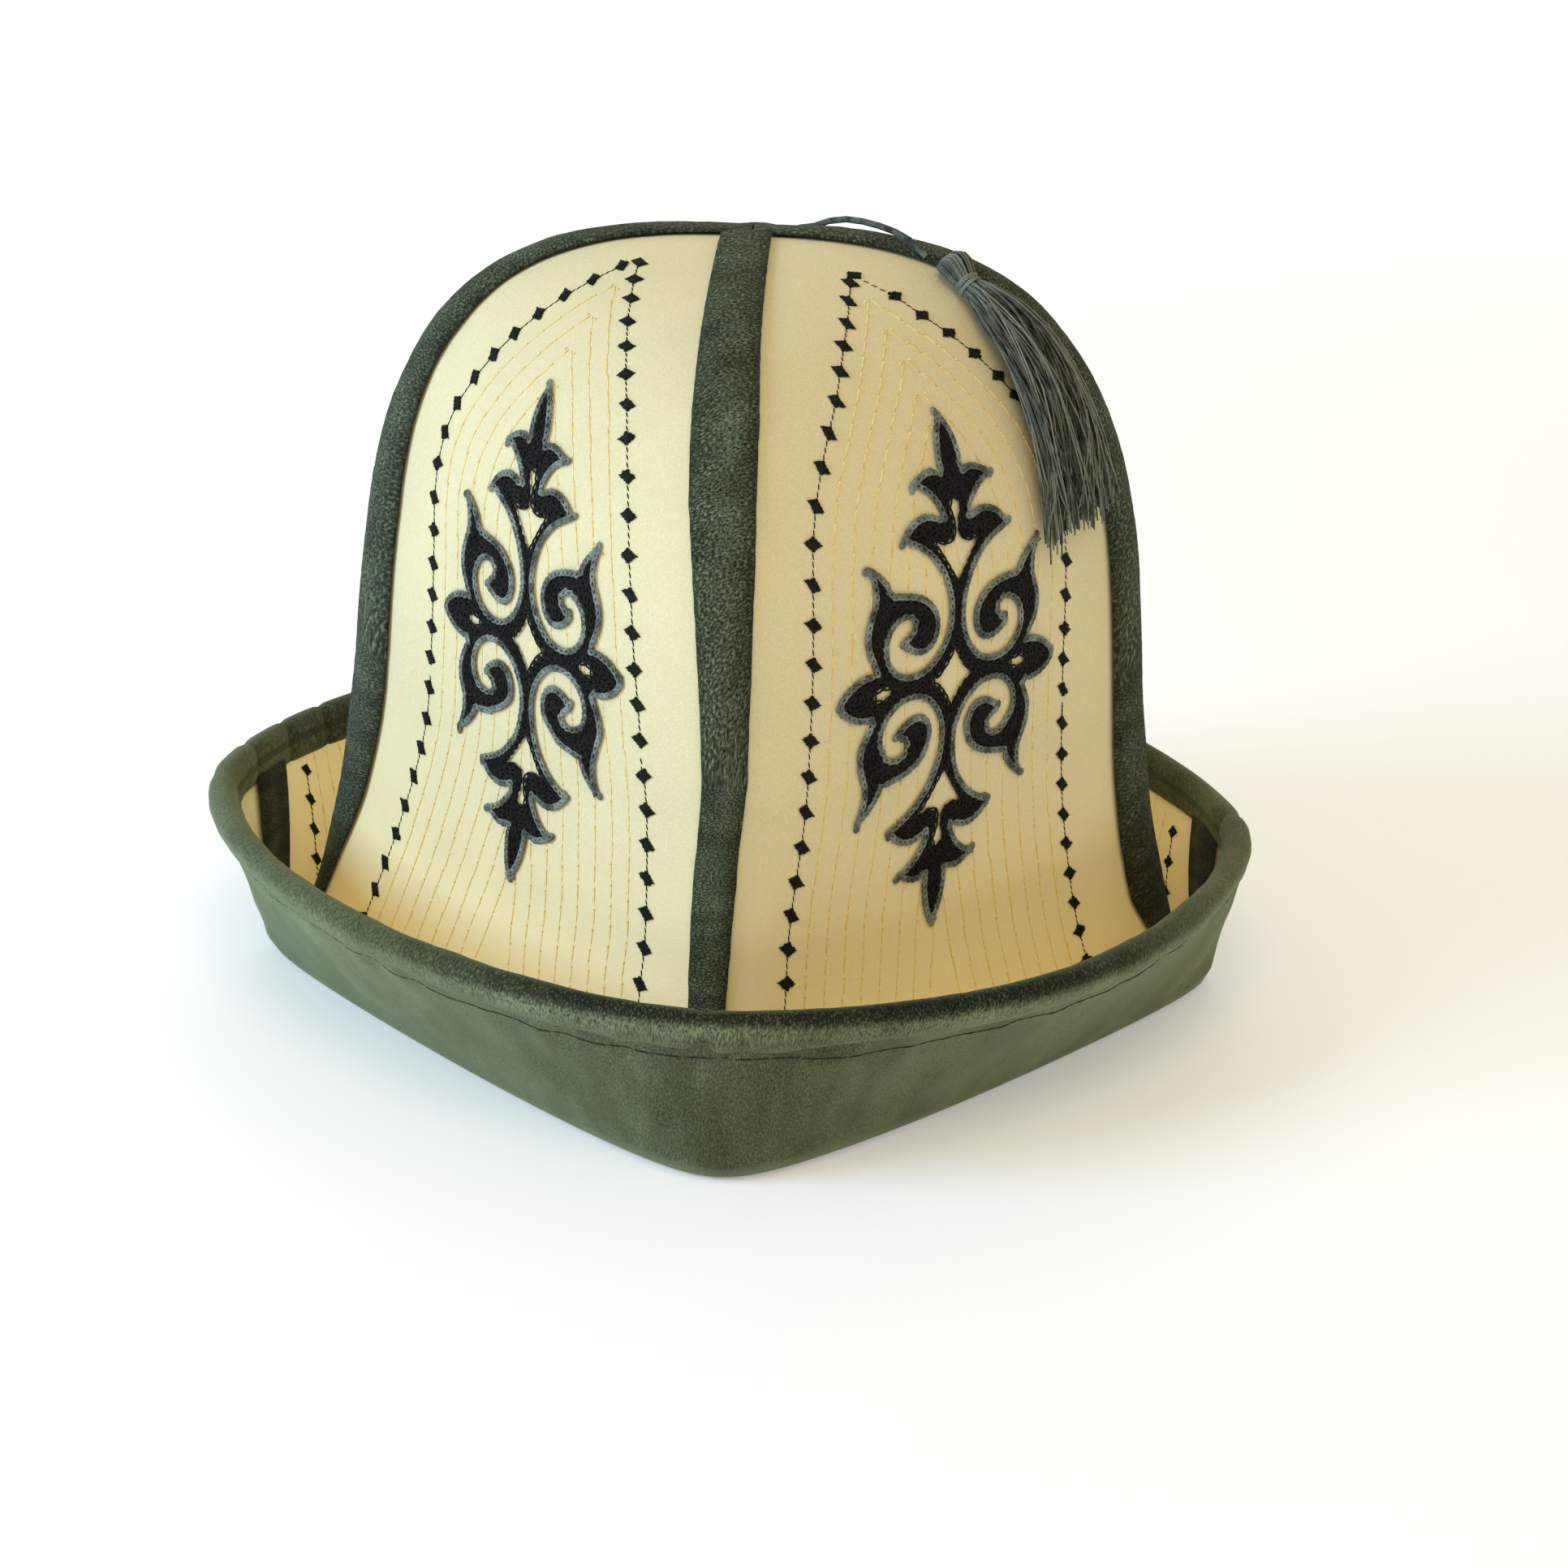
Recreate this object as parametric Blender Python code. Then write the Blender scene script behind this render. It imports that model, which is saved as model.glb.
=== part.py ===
"""A Kyrgyz kalpak: four felt gores with velvet seam strips, a turned-up brim and a tassel.

Metres, +Z up, the hat resting on its fold at z = 0. The four seams of the crown lie on
the axes of the crown, the front one at -Y. Right and left are those of a viewer in front:
right is +X.
"""

import math

import bmesh
import bpy
import numpy as np

# Where the seams' axis stands, so that the outline's middle is at the origin
AXIS_X = 0.0034

# Sizes of the crown
CROWN_HEIGHT = 0.1681
DOME_BASE = 0.0755
DOME_RADIUS = 0.0806
DOME_FULLNESS = 2.95
FLARE = 0.0221
FLARE_HEIGHT = 0.0485
CROWN_TWIST = math.radians(2.2)
CROWN_LEAN = -0.0017
APEX_BACK = 0.0050
RIDGE_ROUNDNESS = 0.08
SQUARENESS_HEIGHTS = (0.0, 0.085, 0.1681)
CROWN_SQUARENESS = (1.06, 1.20, 1.32)

# The top falls away to the front and back of the side seams, as a cap folded flat does
TOP_FALL = 0.009
TOP_FALL_REACH = 0.018
TOP_FALL_FROM = 0.060

# The four corners, where the seams are, and the brim's sizes at each
CORNERS = {
    # name: (degrees from +X, radius of the brim's foot, radius of the rim, height of the rim)
    "right": (0.0, 0.1050, 0.1110, 0.0382),
    "back": (90.0, 0.1078, 0.1160, 0.0404),
    "left": (180.0, 0.1066, 0.1184, 0.0436),
    "front": (270.0, 0.1088, 0.1160, 0.0404),
}

# How far the seams stray from the corners, and how wide their strips are beside the front one
SEAMS = {
    # name: (degrees astray on the crown, at the fold and at the rim, width on crown and brim)
    "right": (-2.5, -1.0, 11.0, 1.22, 1.60),
    "back": (0.0, 0.0, 0.0, 1.00, 1.00),
    "left": (2.5, 1.0, -12.0, 1.22, 1.70),
    "front": (0.0, -1.1, 0.0, 1.00, 1.00),
}
STRAY_WAYS = (0.0, 0.5, 1.5, 2.0, 3.0, 4.0)

# Sizes of the brim between them
FOLD_TOP = 0.0047
FOLD_DEPTH = 0.0015
FOLD_SQUARENESS = 1.08
RIM_SQUARENESS = (1.60, 1.80)
RIM_ROUNDNESS = 0.14
RIM_SAGS = (0.0006, 0.0006, 0.0006, 0.0032)

# Thicknesses of the cloth, and the gap that the pieces keep
FELT = 0.0022
VELVET = 0.0010
GAP = 0.0003

# The velvet strips on the seams: (way along the felt, half width, height of the padding)
STRIP_ROWS = (
    (0.00, 0.0054, 0.0016),
    (0.15, 0.0056, 0.0020),
    (0.45, 0.0060, 0.0026),
    (0.90, 0.0064, 0.0024),
    (1.30, 0.0058, 0.0022),
    (1.70, 0.0040, 0.0018),
    (1.95, 0.0032, 0.0010),
    (2.00, 0.0032, 0.0008),
    (3.00, 0.0032, 0.0008),
    (3.10, 0.0032, 0.0010),
    (3.50, 0.0036, 0.0016),
    (4.00, 0.0042, 0.0018),
)
STRIP_EDGE = 0.0006
STRIP_ACROSS = (-1.0, -0.55, 0.0, 0.55, 1.0)

# The side strips lie further towards the front: the spread there, and their share behind
SPREAD_WAYS = (0.35, 0.60, 0.85, 1.15, 1.45, 1.70, 2.00)
SPREADS = {
    "left": (0.0, 0.0020, 0.0062, 0.0065, 0.0045, 0.0015, 0.0),
    "right": (0.0, 0.0005, 0.0020, 0.0040, 0.0060, 0.0080, 0.0020),
}
BEHIND_WAYS = (0.0, 0.5, 1.7, 2.0)
BEHIND_SHARES = (1.0, 0.62, 0.62, 1.0)
TOWARDS_FRONT = {"left": 1, "right": -1}

# The velvet roll over the rim: it ends at a way along the felt, and rises over the felt's top
ROLL_HALF_THICKNESS = 0.0032
ROLL_END = 3.76
ROLL_RISE = 0.0032

# The tassel on its cord
CORD_RADIUS = 0.0007
CORD_TO_HEAD = 0.0005
CORD_ROUTE = (
    # x, y, lift over the felt: from behind the apex over the side strip to the tassel's head
    (0.0080, 0.0134, 0.0013),
    (0.0112, 0.0124, 0.0019),
    (0.0144, 0.0102, 0.0032),
    (0.0180, 0.0070, 0.0039),
    (0.0216, 0.0040, 0.0040),
    (0.0252, 0.0014, 0.0040),
    (0.0286, -0.0010, 0.0040),
    (0.0316, -0.0030, 0.0037),
)
TASSEL_ROWS = (
    # degrees from +X, height, half width, half thickness
    (-11.2, 0.1642, 0.0012, 0.0010),
    (-11.8, 0.1635, 0.0032, 0.0026),
    (-12.8, 0.1626, 0.0038, 0.0030),
    (-14.0, 0.1615, 0.0032, 0.0027),
    (-15.0, 0.1603, 0.0025, 0.0023),
    (-16.2, 0.1585, 0.0036, 0.0028),
    (-17.2, 0.1555, 0.0052, 0.0034),
    (-17.8, 0.1510, 0.0062, 0.0038),
    (-18.0, 0.1440, 0.0070, 0.0038),
    (-17.6, 0.1350, 0.0074, 0.0034),
    (-16.8, 0.1260, 0.0078, 0.0028),
    (-15.8, 0.1165, 0.0080, 0.0020),
)
LOCKS = 5
LOCK_DEPTH = 0.12
TASSEL_SIDES = 20

# Where the surfaces are cut into faces
DOME_ANGLES = (0.35, 2.0, 5.0, 9.0, 15.0, 22.0, 30.0, 40.0, 51.0, 62.0, 73.0, 83.0)
SIDE_WAYS = (1.0, 1.3, 1.6, 1.84, 1.93, 2.0)
FOLD_WAYS = (2.22, 2.48, 2.52, 2.78, 3.0)
BRIM_WAYS = (3.12, 3.42, 3.75, 3.91)
HALF_COLUMNS = (0.0, 1.6, 4.5, 10.0, 19.0, 31.0, 45.0)
GORE_COLUMNS = HALF_COLUMNS + tuple(90 - column for column in HALF_COLUMNS[-2::-1])

# Each gore's first corner, and each strip's first way: the side strips meet over the apex
GORES = {"back_right": "right", "back_left": "back", "front_left": "left", "front_right": "front"}
STRIPS = {"right": 0.0001, "left": 0.0001, "front": 0.0185, "back": 0.0185}

MATERIALS = {
    # name: (colour, roughness)
    "felt_cream": ((0.78, 0.68, 0.46), 0.95),
    "velvet_strip": ((0.060, 0.085, 0.065), 0.90),
    "velvet_brim": ((0.115, 0.150, 0.105), 0.90),
    "velvet_roll": ((0.095, 0.130, 0.095), 0.90),
    "thread_blue_grey": ((0.090, 0.120, 0.120), 0.70),
}


def material(name):
    """The cloth of that name, made on its first use."""
    found = bpy.data.materials.get(name)
    if found:
        return found
    colour, roughness = MATERIALS[name]
    made = bpy.data.materials.new(name)
    made.use_nodes = True
    shader = made.node_tree.nodes["Principled BSDF"]
    shader.inputs["Base Color"].default_value = (*colour, 1.0)
    shader.inputs["Roughness"].default_value = roughness
    shader.inputs["Metallic"].default_value = 0.0
    return made


def section(angle, squareness, roundness=RIDGE_ROUNDNESS):
    """Radius of a soft-cornered square, as a share of its corner radius; 2 is a circle."""

    def size(a):
        ridge = roundness**2
        return (
            (np.cos(a) ** 2 + ridge) ** (squareness / 2)
            + (np.sin(a) ** 2 + ridge) ** (squareness / 2)
        ) ** (-1 / squareness)

    return size(angle) / size(0.0)


def crown_radius(height):
    """Radius of the crown's corners at a height."""
    rise = np.clip((height - DOME_BASE) / (CROWN_HEIGHT - DOME_BASE), 0, 1)
    dome = (1 - rise**DOME_FULLNESS) ** (1 / DOME_FULLNESS)
    return (DOME_RADIUS + FLARE * np.exp(-height / FLARE_HEIGHT)) * dome


def crown_point(angle, height):
    """Point on the outside of the crown."""
    squareness = np.interp(height, SQUARENESS_HEIGHTS, CROWN_SQUARENESS)
    radius = crown_radius(height) * section(angle, squareness)
    share = height / CROWN_HEIGHT
    turned = angle - CROWN_TWIST * share
    across = radius * np.sin(turned) + APEX_BACK * share**6
    return np.array(
        [radius * np.cos(turned) + CROWN_LEAN * share**3, across, height - fall(across, height)]
    )


def fall(across, height):
    """How far the crown's top lies lower at a distance from its side seams."""
    fade = np.clip((height - TOP_FALL_FROM) / (CROWN_HEIGHT - TOP_FALL_FROM), 0, 1)
    depth = TOP_FALL * (1 - 1 / np.sqrt(1 + (across / TOP_FALL_REACH) ** 2))
    return depth * fade**2 * (3 - 2 * fade)


def between_corners(angle, column):
    """A size from the table of corners, blended between the two corners beside a direction."""
    total = 0.0
    for row in CORNERS.values():
        nearness = max(math.cos(angle - math.radians(row[0])), 0.0)
        total += row[column] * nearness**2
    return total


def brim_point(angle, share):
    """Point on the brim's inner face, from the fold at share 0 to the rim's crest at 1."""
    foot = between_corners(angle, 1) * section(angle, FOLD_SQUARENESS)
    squareness = np.interp(math.sin(angle), (-1, 1), RIM_SQUARENESS)
    rim = between_corners(angle, 2) * section(angle, squareness, RIM_ROUNDNESS)
    sag = RIM_SAGS[int(angle // (math.pi / 2)) % 4]
    top = between_corners(angle, 3) - sag * np.sin(2 * angle) ** 2
    radius = foot + (rim - foot) * share
    height = FOLD_TOP + (top - FOLD_TOP) * share
    return np.array([radius * np.cos(angle), radius * np.sin(angle), height])


def felt_point(angle, way):
    """Point on the felt's visible side.

    The way runs from the apex (0) down the dome (1) and the side (2), round the fold (3)
    and up the brim's inner face to the rim (4).
    """
    if way < 1:
        rise = math.cos(way * math.pi / 2) ** (2 / DOME_FULLNESS)
        return crown_point(angle, DOME_BASE + (CROWN_HEIGHT - DOME_BASE) * rise)
    if way < 2:
        return crown_point(angle, DOME_BASE + (FOLD_TOP - DOME_BASE) * (way - 1))
    if way < 3:
        crown_side = crown_point(angle, FOLD_TOP)
        brim_side = brim_point(angle, 0)
        turn = (way - 2) * math.pi
        point = (crown_side + brim_side) / 2 + (crown_side - brim_side) / 2 * math.cos(turn)
        point[2] = FOLD_TOP - FOLD_DEPTH * math.sin(turn)
        return point
    return brim_point(angle, way - 3)


def normal(angle, way):
    """Unit normal of the felt on its visible side."""
    step = 1e-3
    across = felt_point(angle + step, way) - felt_point(angle - step, way)
    low = max(way - step, 1e-5)
    along = felt_point(angle, way + step) - felt_point(angle, low)
    direction = np.cross(along, across)
    return direction / np.linalg.norm(direction)


def lifted(angle, way, lift):
    """Point at a distance from the felt's visible side; below it where lift is negative."""
    return felt_point(angle, way) + normal(angle, way) * lift


def loft(name, rings, cloth, closed=False):
    """One closed body through rings that each hold a section's front, then its back reversed."""
    mesh = bmesh.new()
    rows = [[mesh.verts.new(point) for point in ring] for ring in rings]
    count = len(rows[0])
    steps = list(zip(rows, rows[1:]))
    if closed:
        steps.append((rows[-1], rows[0]))
    for lower, upper in steps:
        for i in range(count):
            j = (i + 1) % count
            mesh.faces.new((lower[i], lower[j], upper[j], upper[i]))
    if not closed:
        for row in (rows[0], rows[-1]):
            for i in range(count // 2 - 1):
                mesh.faces.new((row[i], row[i + 1], row[count - 2 - i], row[count - 1 - i]))
    bmesh.ops.triangulate(mesh, faces=mesh.faces, quad_method="SHORT_EDGE")
    bmesh.ops.recalc_face_normals(mesh, faces=mesh.faces)
    return finished(name, mesh, cloth)


def finished(name, mesh, cloth):
    """The bmesh as a smooth object with its own material."""
    data = bpy.data.meshes.new(name)
    mesh.to_mesh(data)
    mesh.free()
    made = bpy.data.objects.new(name, data)
    made.location.x = AXIS_X
    parts.objects.link(made)
    made.data.materials.append(material(cloth))
    data.shade_smooth()
    data.set_sharp_from_angle(angle=math.radians(50))
    return made


def seam_angle(corner, way):
    """Direction of a seam in radians, which strays a little from its corner."""
    on_crown, at_fold, at_rim = SEAMS[corner][:3]
    strays = (0.0, on_crown, on_crown, at_fold, at_fold, at_rim)
    return math.radians(CORNERS[corner][0] + np.interp(way, STRAY_WAYS, strays))


def column_angle(corner, column, way):
    """Direction of a column of a gore, counted in degrees from its first seam to its second."""
    names = list(CORNERS)
    following = names[(names.index(corner) + 1) % 4]
    first = seam_angle(corner, way)
    second = seam_angle(following, way) + (2 * math.pi if following == names[0] else 0)
    return first + (second - first) * column / 90


def felt_ways():
    """The stations down a gore, from the apex to just under the rim's crest."""
    return tuple(a / 90 for a in DOME_ANGLES) + SIDE_WAYS + FOLD_WAYS + BRIM_WAYS


def wall(name, corner, ways, near, far, cloth):
    """A wall of cloth between two seams, between two depths under the felt's visible side."""
    rings = []
    for way in ways:
        front, back = [], []
        reach = np.linalg.norm(felt_point(0.0, way)[:2] - felt_point(math.pi, way)[:2]) / 2
        clear = GAP / 2 / reach
        for column in GORE_COLUMNS:
            angle = column_angle(corner, column, way) + clear * (1 - column / 45)
            front.append(lifted(angle, way, -near))
            back.append(lifted(angle, way, -far))
        for point in front + back:
            point[2] = max(point[2], 0.0)
        rings.append(front + back[::-1])
    return loft(name, rings, cloth)


def gore(name, corner):
    """A felt gore of the crown, from the apex down to the middle of the fold."""
    ways = [way for way in felt_ways() if way < 2.5]
    return wall(f"gore_{name}", corner, ways, 0.0, FELT, "felt_cream")


def brim_felt(name, corner):
    """The felt of the brim under a gore, from the middle of the fold up to the rim."""
    ways = [way for way in felt_ways() if way > 2.5]
    return wall(f"brim_felt_{name}", corner, ways, 0.0, FELT, "felt_cream")


def brim_facing(name, corner):
    """The velvet on the brim's outer face, turned in under the fold, flat where it rests."""
    near = FELT + GAP
    ways = FOLD_WAYS + BRIM_WAYS[:-1]
    return wall(f"brim_facing_{name}", corner, ways, near, near + VELVET, "velvet_brim")


def crown_field(point):
    """Negative inside the crown, zero on its surface."""
    height = point[2]
    for _ in range(4):
        height = point[2] + fall(point[1], height)
    share = height / CROWN_HEIGHT
    x = point[0] - CROWN_LEAN * share**3
    y = point[1] - APEX_BACK * share**6
    angle = math.atan2(y, x) + CROWN_TWIST * share
    squareness = np.interp(height, SQUARENESS_HEIGHTS, CROWN_SQUARENESS)
    radius = DOME_RADIUS + FLARE * math.exp(-height / FLARE_HEIGHT)
    reach = math.hypot(x, y) / (radius * section(angle, squareness))
    rise = max(height - DOME_BASE, 0) / (CROWN_HEIGHT - DOME_BASE)
    return reach**DOME_FULLNESS + rise**DOME_FULLNESS - 1


def settled(point, inward):
    """The point moved along a direction until it lies on the crown."""
    near, far = -0.004, 0.030
    for _ in range(30):
        middle = (near + far) / 2
        if crown_field(point + inward * middle) > 0:
            near = middle
        else:
            far = middle
    return point + inward * near


def strip_offset(corner, way, across, half_width):
    """Distance from the seam of a place across a strip, where -1 and 1 are its edges."""
    front = TOWARDS_FRONT.get(corner, 0)
    if across * front > 0:
        spread = np.interp(way, SPREAD_WAYS, SPREADS[corner])
        return across * (half_width + spread)
    if across * front < 0:
        return across * half_width * np.interp(way, BEHIND_WAYS, BEHIND_SHARES)
    return across * half_width


def strip_ring(corner, way, half_width, padding):
    """A section of a seam strip: its padded top, then its underside."""
    angle = seam_angle(corner, way)
    centre = felt_point(angle, way)
    out = normal(angle, way)
    side = np.array([-math.sin(angle), math.cos(angle), 0.0])
    side = side - out * np.dot(side, out)
    side /= np.linalg.norm(side)
    top, underside = [], []
    for across in STRIP_ACROSS:
        offset = strip_offset(corner, way, across, half_width)
        if way < 2:
            base = settled(centre + side * offset, -out)
        else:
            reach = np.linalg.norm(centre[:2])
            base = felt_point(angle + offset / reach, way)
        rise = STRIP_EDGE + (padding - STRIP_EDGE) * math.sqrt(1 - across**2)
        top.append(base + out * (GAP + rise))
        underside.append(base + out * GAP)
    return top + underside[::-1]


def seam_strip(name, corner, first_way):
    """A padded velvet strip over a seam, from the apex down and up to the rim's roll."""
    ways, half_widths, paddings = zip(*STRIP_ROWS)
    stations = [way for way in felt_ways() if first_way + 0.01 < way < ROLL_END]
    stations = [first_way, *stations]
    rings = []
    for way in stations:
        width = np.interp(way, (2, 3), SEAMS[corner][3:])
        half_width = np.interp(way, ways, half_widths) * width
        rings.append(strip_ring(corner, way, half_width, np.interp(way, ways, paddings)))
    return loft(name, rings, "velvet_strip")


def round_the_brim():
    """Each column of each gore in turn, as (corner, column)."""
    return [(corner, column) for corner in CORNERS for column in GORE_COLUMNS[:-1]]


def roll_section():
    """The rim's roll as (across, rise over the felt's top), where None is the roll's end."""
    middle = -FELT / 2
    cap = [
        (middle + ROLL_HALF_THICKNESS * math.cos(math.radians(a)),
         ROLL_RISE * math.sin(math.radians(a)))
        for a in (0, 36, 68, 112, 144, 180)
    ]
    wall = FELT / 2 + GAP
    slot = [
        (middle - wall, None),
        (middle - wall, GAP),
        (middle + wall, GAP),
        (middle + wall, None),
    ]
    foot_in = (middle + ROLL_HALF_THICKNESS * 0.72, None)
    foot_out = (middle - ROLL_HALF_THICKNESS * 0.78, None)
    return [foot_in, *cap, foot_out, *slot]


def rim_roll():
    """The velvet roll that wraps the rim all round, open below for the felt."""
    rings = []
    for corner, column in round_the_brim():
        top = column_angle(corner, column, BRIM_WAYS[-1])
        end = column_angle(corner, column, ROLL_END)
        up = lifted(top, BRIM_WAYS[-1], 0.0) - lifted(end, ROLL_END, 0.0)
        up /= np.linalg.norm(up)
        ring = []
        for across, rise in roll_section():
            if rise is None:
                ring.append(lifted(end, ROLL_END, across))
            else:
                ring.append(lifted(top, BRIM_WAYS[-1], across) + up * rise)
        rings.append(ring)
    return loft("rim_roll", rings, "velvet_roll", closed=True)


def crown_place(degrees, height, lift):
    """Point over the crown and its outward direction."""
    angle = math.radians(degrees)
    point = crown_point(angle, height)
    step = 1e-3
    across = crown_point(angle + step, height) - crown_point(angle - step, height)
    along = crown_point(angle, height - step) - crown_point(angle, height)
    out = np.cross(along, across)
    out /= np.linalg.norm(out)
    return point + out * lift, out


def tassel_centres():
    """The tassel's middle line over the crown, as (point, outward direction)."""
    return [
        crown_place(degrees, height, thick * (1 + LOCK_DEPTH) + 3 * GAP)
        for degrees, height, _, thick in TASSEL_ROWS
    ]


def tassel():
    """The tassel's bound head, neck and skirt of locks, lying down the crown."""
    centres = tassel_centres()
    rings = []
    for i, (_, _, half_width, half_thickness) in enumerate(TASSEL_ROWS):
        centre, out = centres[i]
        ahead = centres[min(i + 1, len(centres) - 1)][0] - centres[max(i - 1, 0)][0]
        side = np.cross(out, ahead)
        side /= np.linalg.norm(side)
        skirt = i >= 5
        ring = []
        for k in range(TASSEL_SIDES):
            turn = 2 * math.pi * k / TASSEL_SIDES
            swell = 1 + (LOCK_DEPTH * math.cos(2 * LOCKS * turn / 2) if skirt else 0)
            ring.append(
                centre
                + side * half_width * swell * math.cos(turn)
                + out * half_thickness * swell * math.sin(turn)
            )
        rings.append(ring)
    return loft("tassel", rings, "thread_blue_grey")


def tassel_cord():
    """The cord from the apex to the tassel's head, as a curve with a round bevel."""
    data = bpy.data.curves.new("tassel_cord", "CURVE")
    data.dimensions = "3D"
    data.bevel_depth = CORD_RADIUS
    data.bevel_resolution = 2
    data.use_fill_caps = True
    line = data.splines.new("POLY")
    line.points.add(len(CORD_ROUTE))
    down = np.array([0.0, 0.0, -1.0])
    route = [settled(np.array([x, y, CROWN_HEIGHT]), down) - down * lift
             for x, y, lift in CORD_ROUTE]
    head, neck = tassel_centres()[0][0], tassel_centres()[2][0]
    route.append(head - (neck - head) / np.linalg.norm(neck - head) * CORD_TO_HEAD)
    for place, point in zip(line.points, route):
        place.co = (*point, 1.0)
    made = bpy.data.objects.new("tassel_cord", data)
    made.location.x = AXIS_X
    parts.objects.link(made)
    data.materials.append(material("thread_blue_grey"))
    return made


for leftover in list(bpy.data.objects):
    bpy.data.objects.remove(leftover)

parts = bpy.data.collections.new("kalpak")
bpy.context.scene.collection.children.link(parts)

for name, start in GORES.items():
    gore(name, start)
    brim_felt(name, start)
    brim_facing(name, start)
for name, first_way in STRIPS.items():
    seam_strip(f"seam_strip_{name}", name, first_way)
rim_roll()
tassel_cord()
tassel()
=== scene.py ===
"""The looks of a Kyrgyz kalpak: felt gores, velvet strips and brim, embroidery and a tassel.

Metres, +Z up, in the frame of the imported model. The four seams of the crown lie near the
axes, the front one at -Y. Right and left are those of a viewer in front.
"""

import math

import bmesh
import bpy
import numpy as np
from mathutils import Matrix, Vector


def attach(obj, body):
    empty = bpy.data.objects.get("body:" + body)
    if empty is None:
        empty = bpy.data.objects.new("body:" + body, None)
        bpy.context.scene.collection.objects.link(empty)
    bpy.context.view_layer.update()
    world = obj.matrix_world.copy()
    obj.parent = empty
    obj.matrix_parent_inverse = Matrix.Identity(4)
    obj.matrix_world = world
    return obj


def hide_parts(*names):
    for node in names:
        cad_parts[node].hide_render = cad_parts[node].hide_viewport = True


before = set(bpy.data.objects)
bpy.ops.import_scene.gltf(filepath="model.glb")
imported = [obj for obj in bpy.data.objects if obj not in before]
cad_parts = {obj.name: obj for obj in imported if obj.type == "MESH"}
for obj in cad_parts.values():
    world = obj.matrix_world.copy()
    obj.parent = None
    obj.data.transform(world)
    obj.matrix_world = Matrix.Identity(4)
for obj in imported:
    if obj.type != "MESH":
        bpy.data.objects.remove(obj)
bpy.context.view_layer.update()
bpy.ops.object.select_all(action="DESELECT")

# Where the seams' axis stands
AXIS_X = 0.0034

# Sizes of the crown
CROWN_HEIGHT = 0.1681
DOME_BASE = 0.0755
DOME_RADIUS = 0.0806
DOME_FULLNESS = 2.95
FLARE = 0.0221
FLARE_HEIGHT = 0.0485
CROWN_TWIST = math.radians(2.2)
CROWN_LEAN = -0.0017
APEX_BACK = 0.0050
RIDGE_ROUNDNESS = 0.08
SQUARENESS_HEIGHTS = (0.0, 0.085, 0.1681)
CROWN_SQUARENESS = (1.06, 1.20, 1.32)

# The top falls away to the front and back of the side seams
TOP_FALL = 0.009
TOP_FALL_REACH = 0.018
TOP_FALL_FROM = 0.060

# The four corners, where the seams are, and the brim's sizes at each
CORNERS = {
    # name: (degrees from +X, radius of the brim's foot, radius of the rim, height of the rim)
    "right": (0.0, 0.1050, 0.1110, 0.0382),
    "back": (90.0, 0.1078, 0.1160, 0.0404),
    "left": (180.0, 0.1066, 0.1184, 0.0436),
    "front": (270.0, 0.1088, 0.1160, 0.0404),
}

# How far the seams stray from the corners, and how wide their strips are beside the front one
SEAMS = {
    # name: (degrees astray on the crown, at the fold and at the rim, width on crown and brim)
    "right": (-2.5, -1.0, 11.0, 1.22, 1.60),
    "back": (0.0, 0.0, 0.0, 1.00, 1.00),
    "left": (2.5, 1.0, -12.0, 1.22, 1.70),
    "front": (0.0, -1.1, 0.0, 1.00, 1.00),
}
STRAY_WAYS = (0.0, 0.5, 1.5, 2.0, 3.0, 4.0)

# Sizes of the brim between them
FOLD_TOP = 0.0047
FOLD_DEPTH = 0.0015
FOLD_SQUARENESS = 1.08
RIM_SQUARENESS = (1.60, 1.80)
RIM_ROUNDNESS = 0.14
RIM_SAGS = (0.0006, 0.0006, 0.0006, 0.0032)

# Thicknesses of the cloth, and the gap that the pieces keep
FELT = 0.0022
VELVET = 0.0010
GAP = 0.0003

# The velvet strips on the seams: (way along the felt, half width, height of the padding)
STRIP_ROWS = (
    (0.00, 0.0054, 0.0016),
    (0.15, 0.0056, 0.0020),
    (0.45, 0.0060, 0.0026),
    (0.90, 0.0064, 0.0024),
    (1.30, 0.0058, 0.0022),
    (1.70, 0.0040, 0.0018),
    (1.95, 0.0032, 0.0010),
    (2.00, 0.0032, 0.0008),
    (3.00, 0.0032, 0.0008),
    (3.10, 0.0032, 0.0010),
    (3.50, 0.0036, 0.0016),
    (4.00, 0.0042, 0.0018),
)
STRIP_EDGE = 0.0006

# The side strips lie further towards the front: the spread there, and their share behind
SPREAD_WAYS = (0.35, 0.60, 0.85, 1.15, 1.45, 1.70, 2.00)
SPREADS = {
    "left": (0.0, 0.0020, 0.0062, 0.0065, 0.0045, 0.0015, 0.0),
    "right": (0.0, 0.0005, 0.0020, 0.0040, 0.0060, 0.0080, 0.0020),
}
BEHIND_WAYS = (0.0, 0.5, 1.7, 2.0)
BEHIND_SHARES = (1.0, 0.62, 0.62, 1.0)
TOWARDS_FRONT = {"left": 1, "right": -1}
STRIP_STARTS = {"right": 0.0001, "left": 0.0001, "front": 0.0185, "back": 0.0185}

# The velvet roll over the rim
FELT_TOP = 3.91
ROLL_END = 3.76
ROLL_HALF_THICKNESS = 0.0032
ROLL_RISE = 0.0032

# The tassel on its cord
CORD_RADIUS = 0.0007
TASSEL_HEAD = (AXIS_X + 0.0353, -0.0046, 0.1658)
CORD_ROUTE = (
    (0.0080, 0.0134, 0.0013),
    (0.0112, 0.0124, 0.0019),
    (0.0144, 0.0102, 0.0032),
    (0.0180, 0.0070, 0.0039),
    (0.0216, 0.0040, 0.0040),
    (0.0252, 0.0014, 0.0040),
    (0.0286, -0.0010, 0.0040),
    (0.0316, -0.0030, 0.0037),
)

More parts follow.
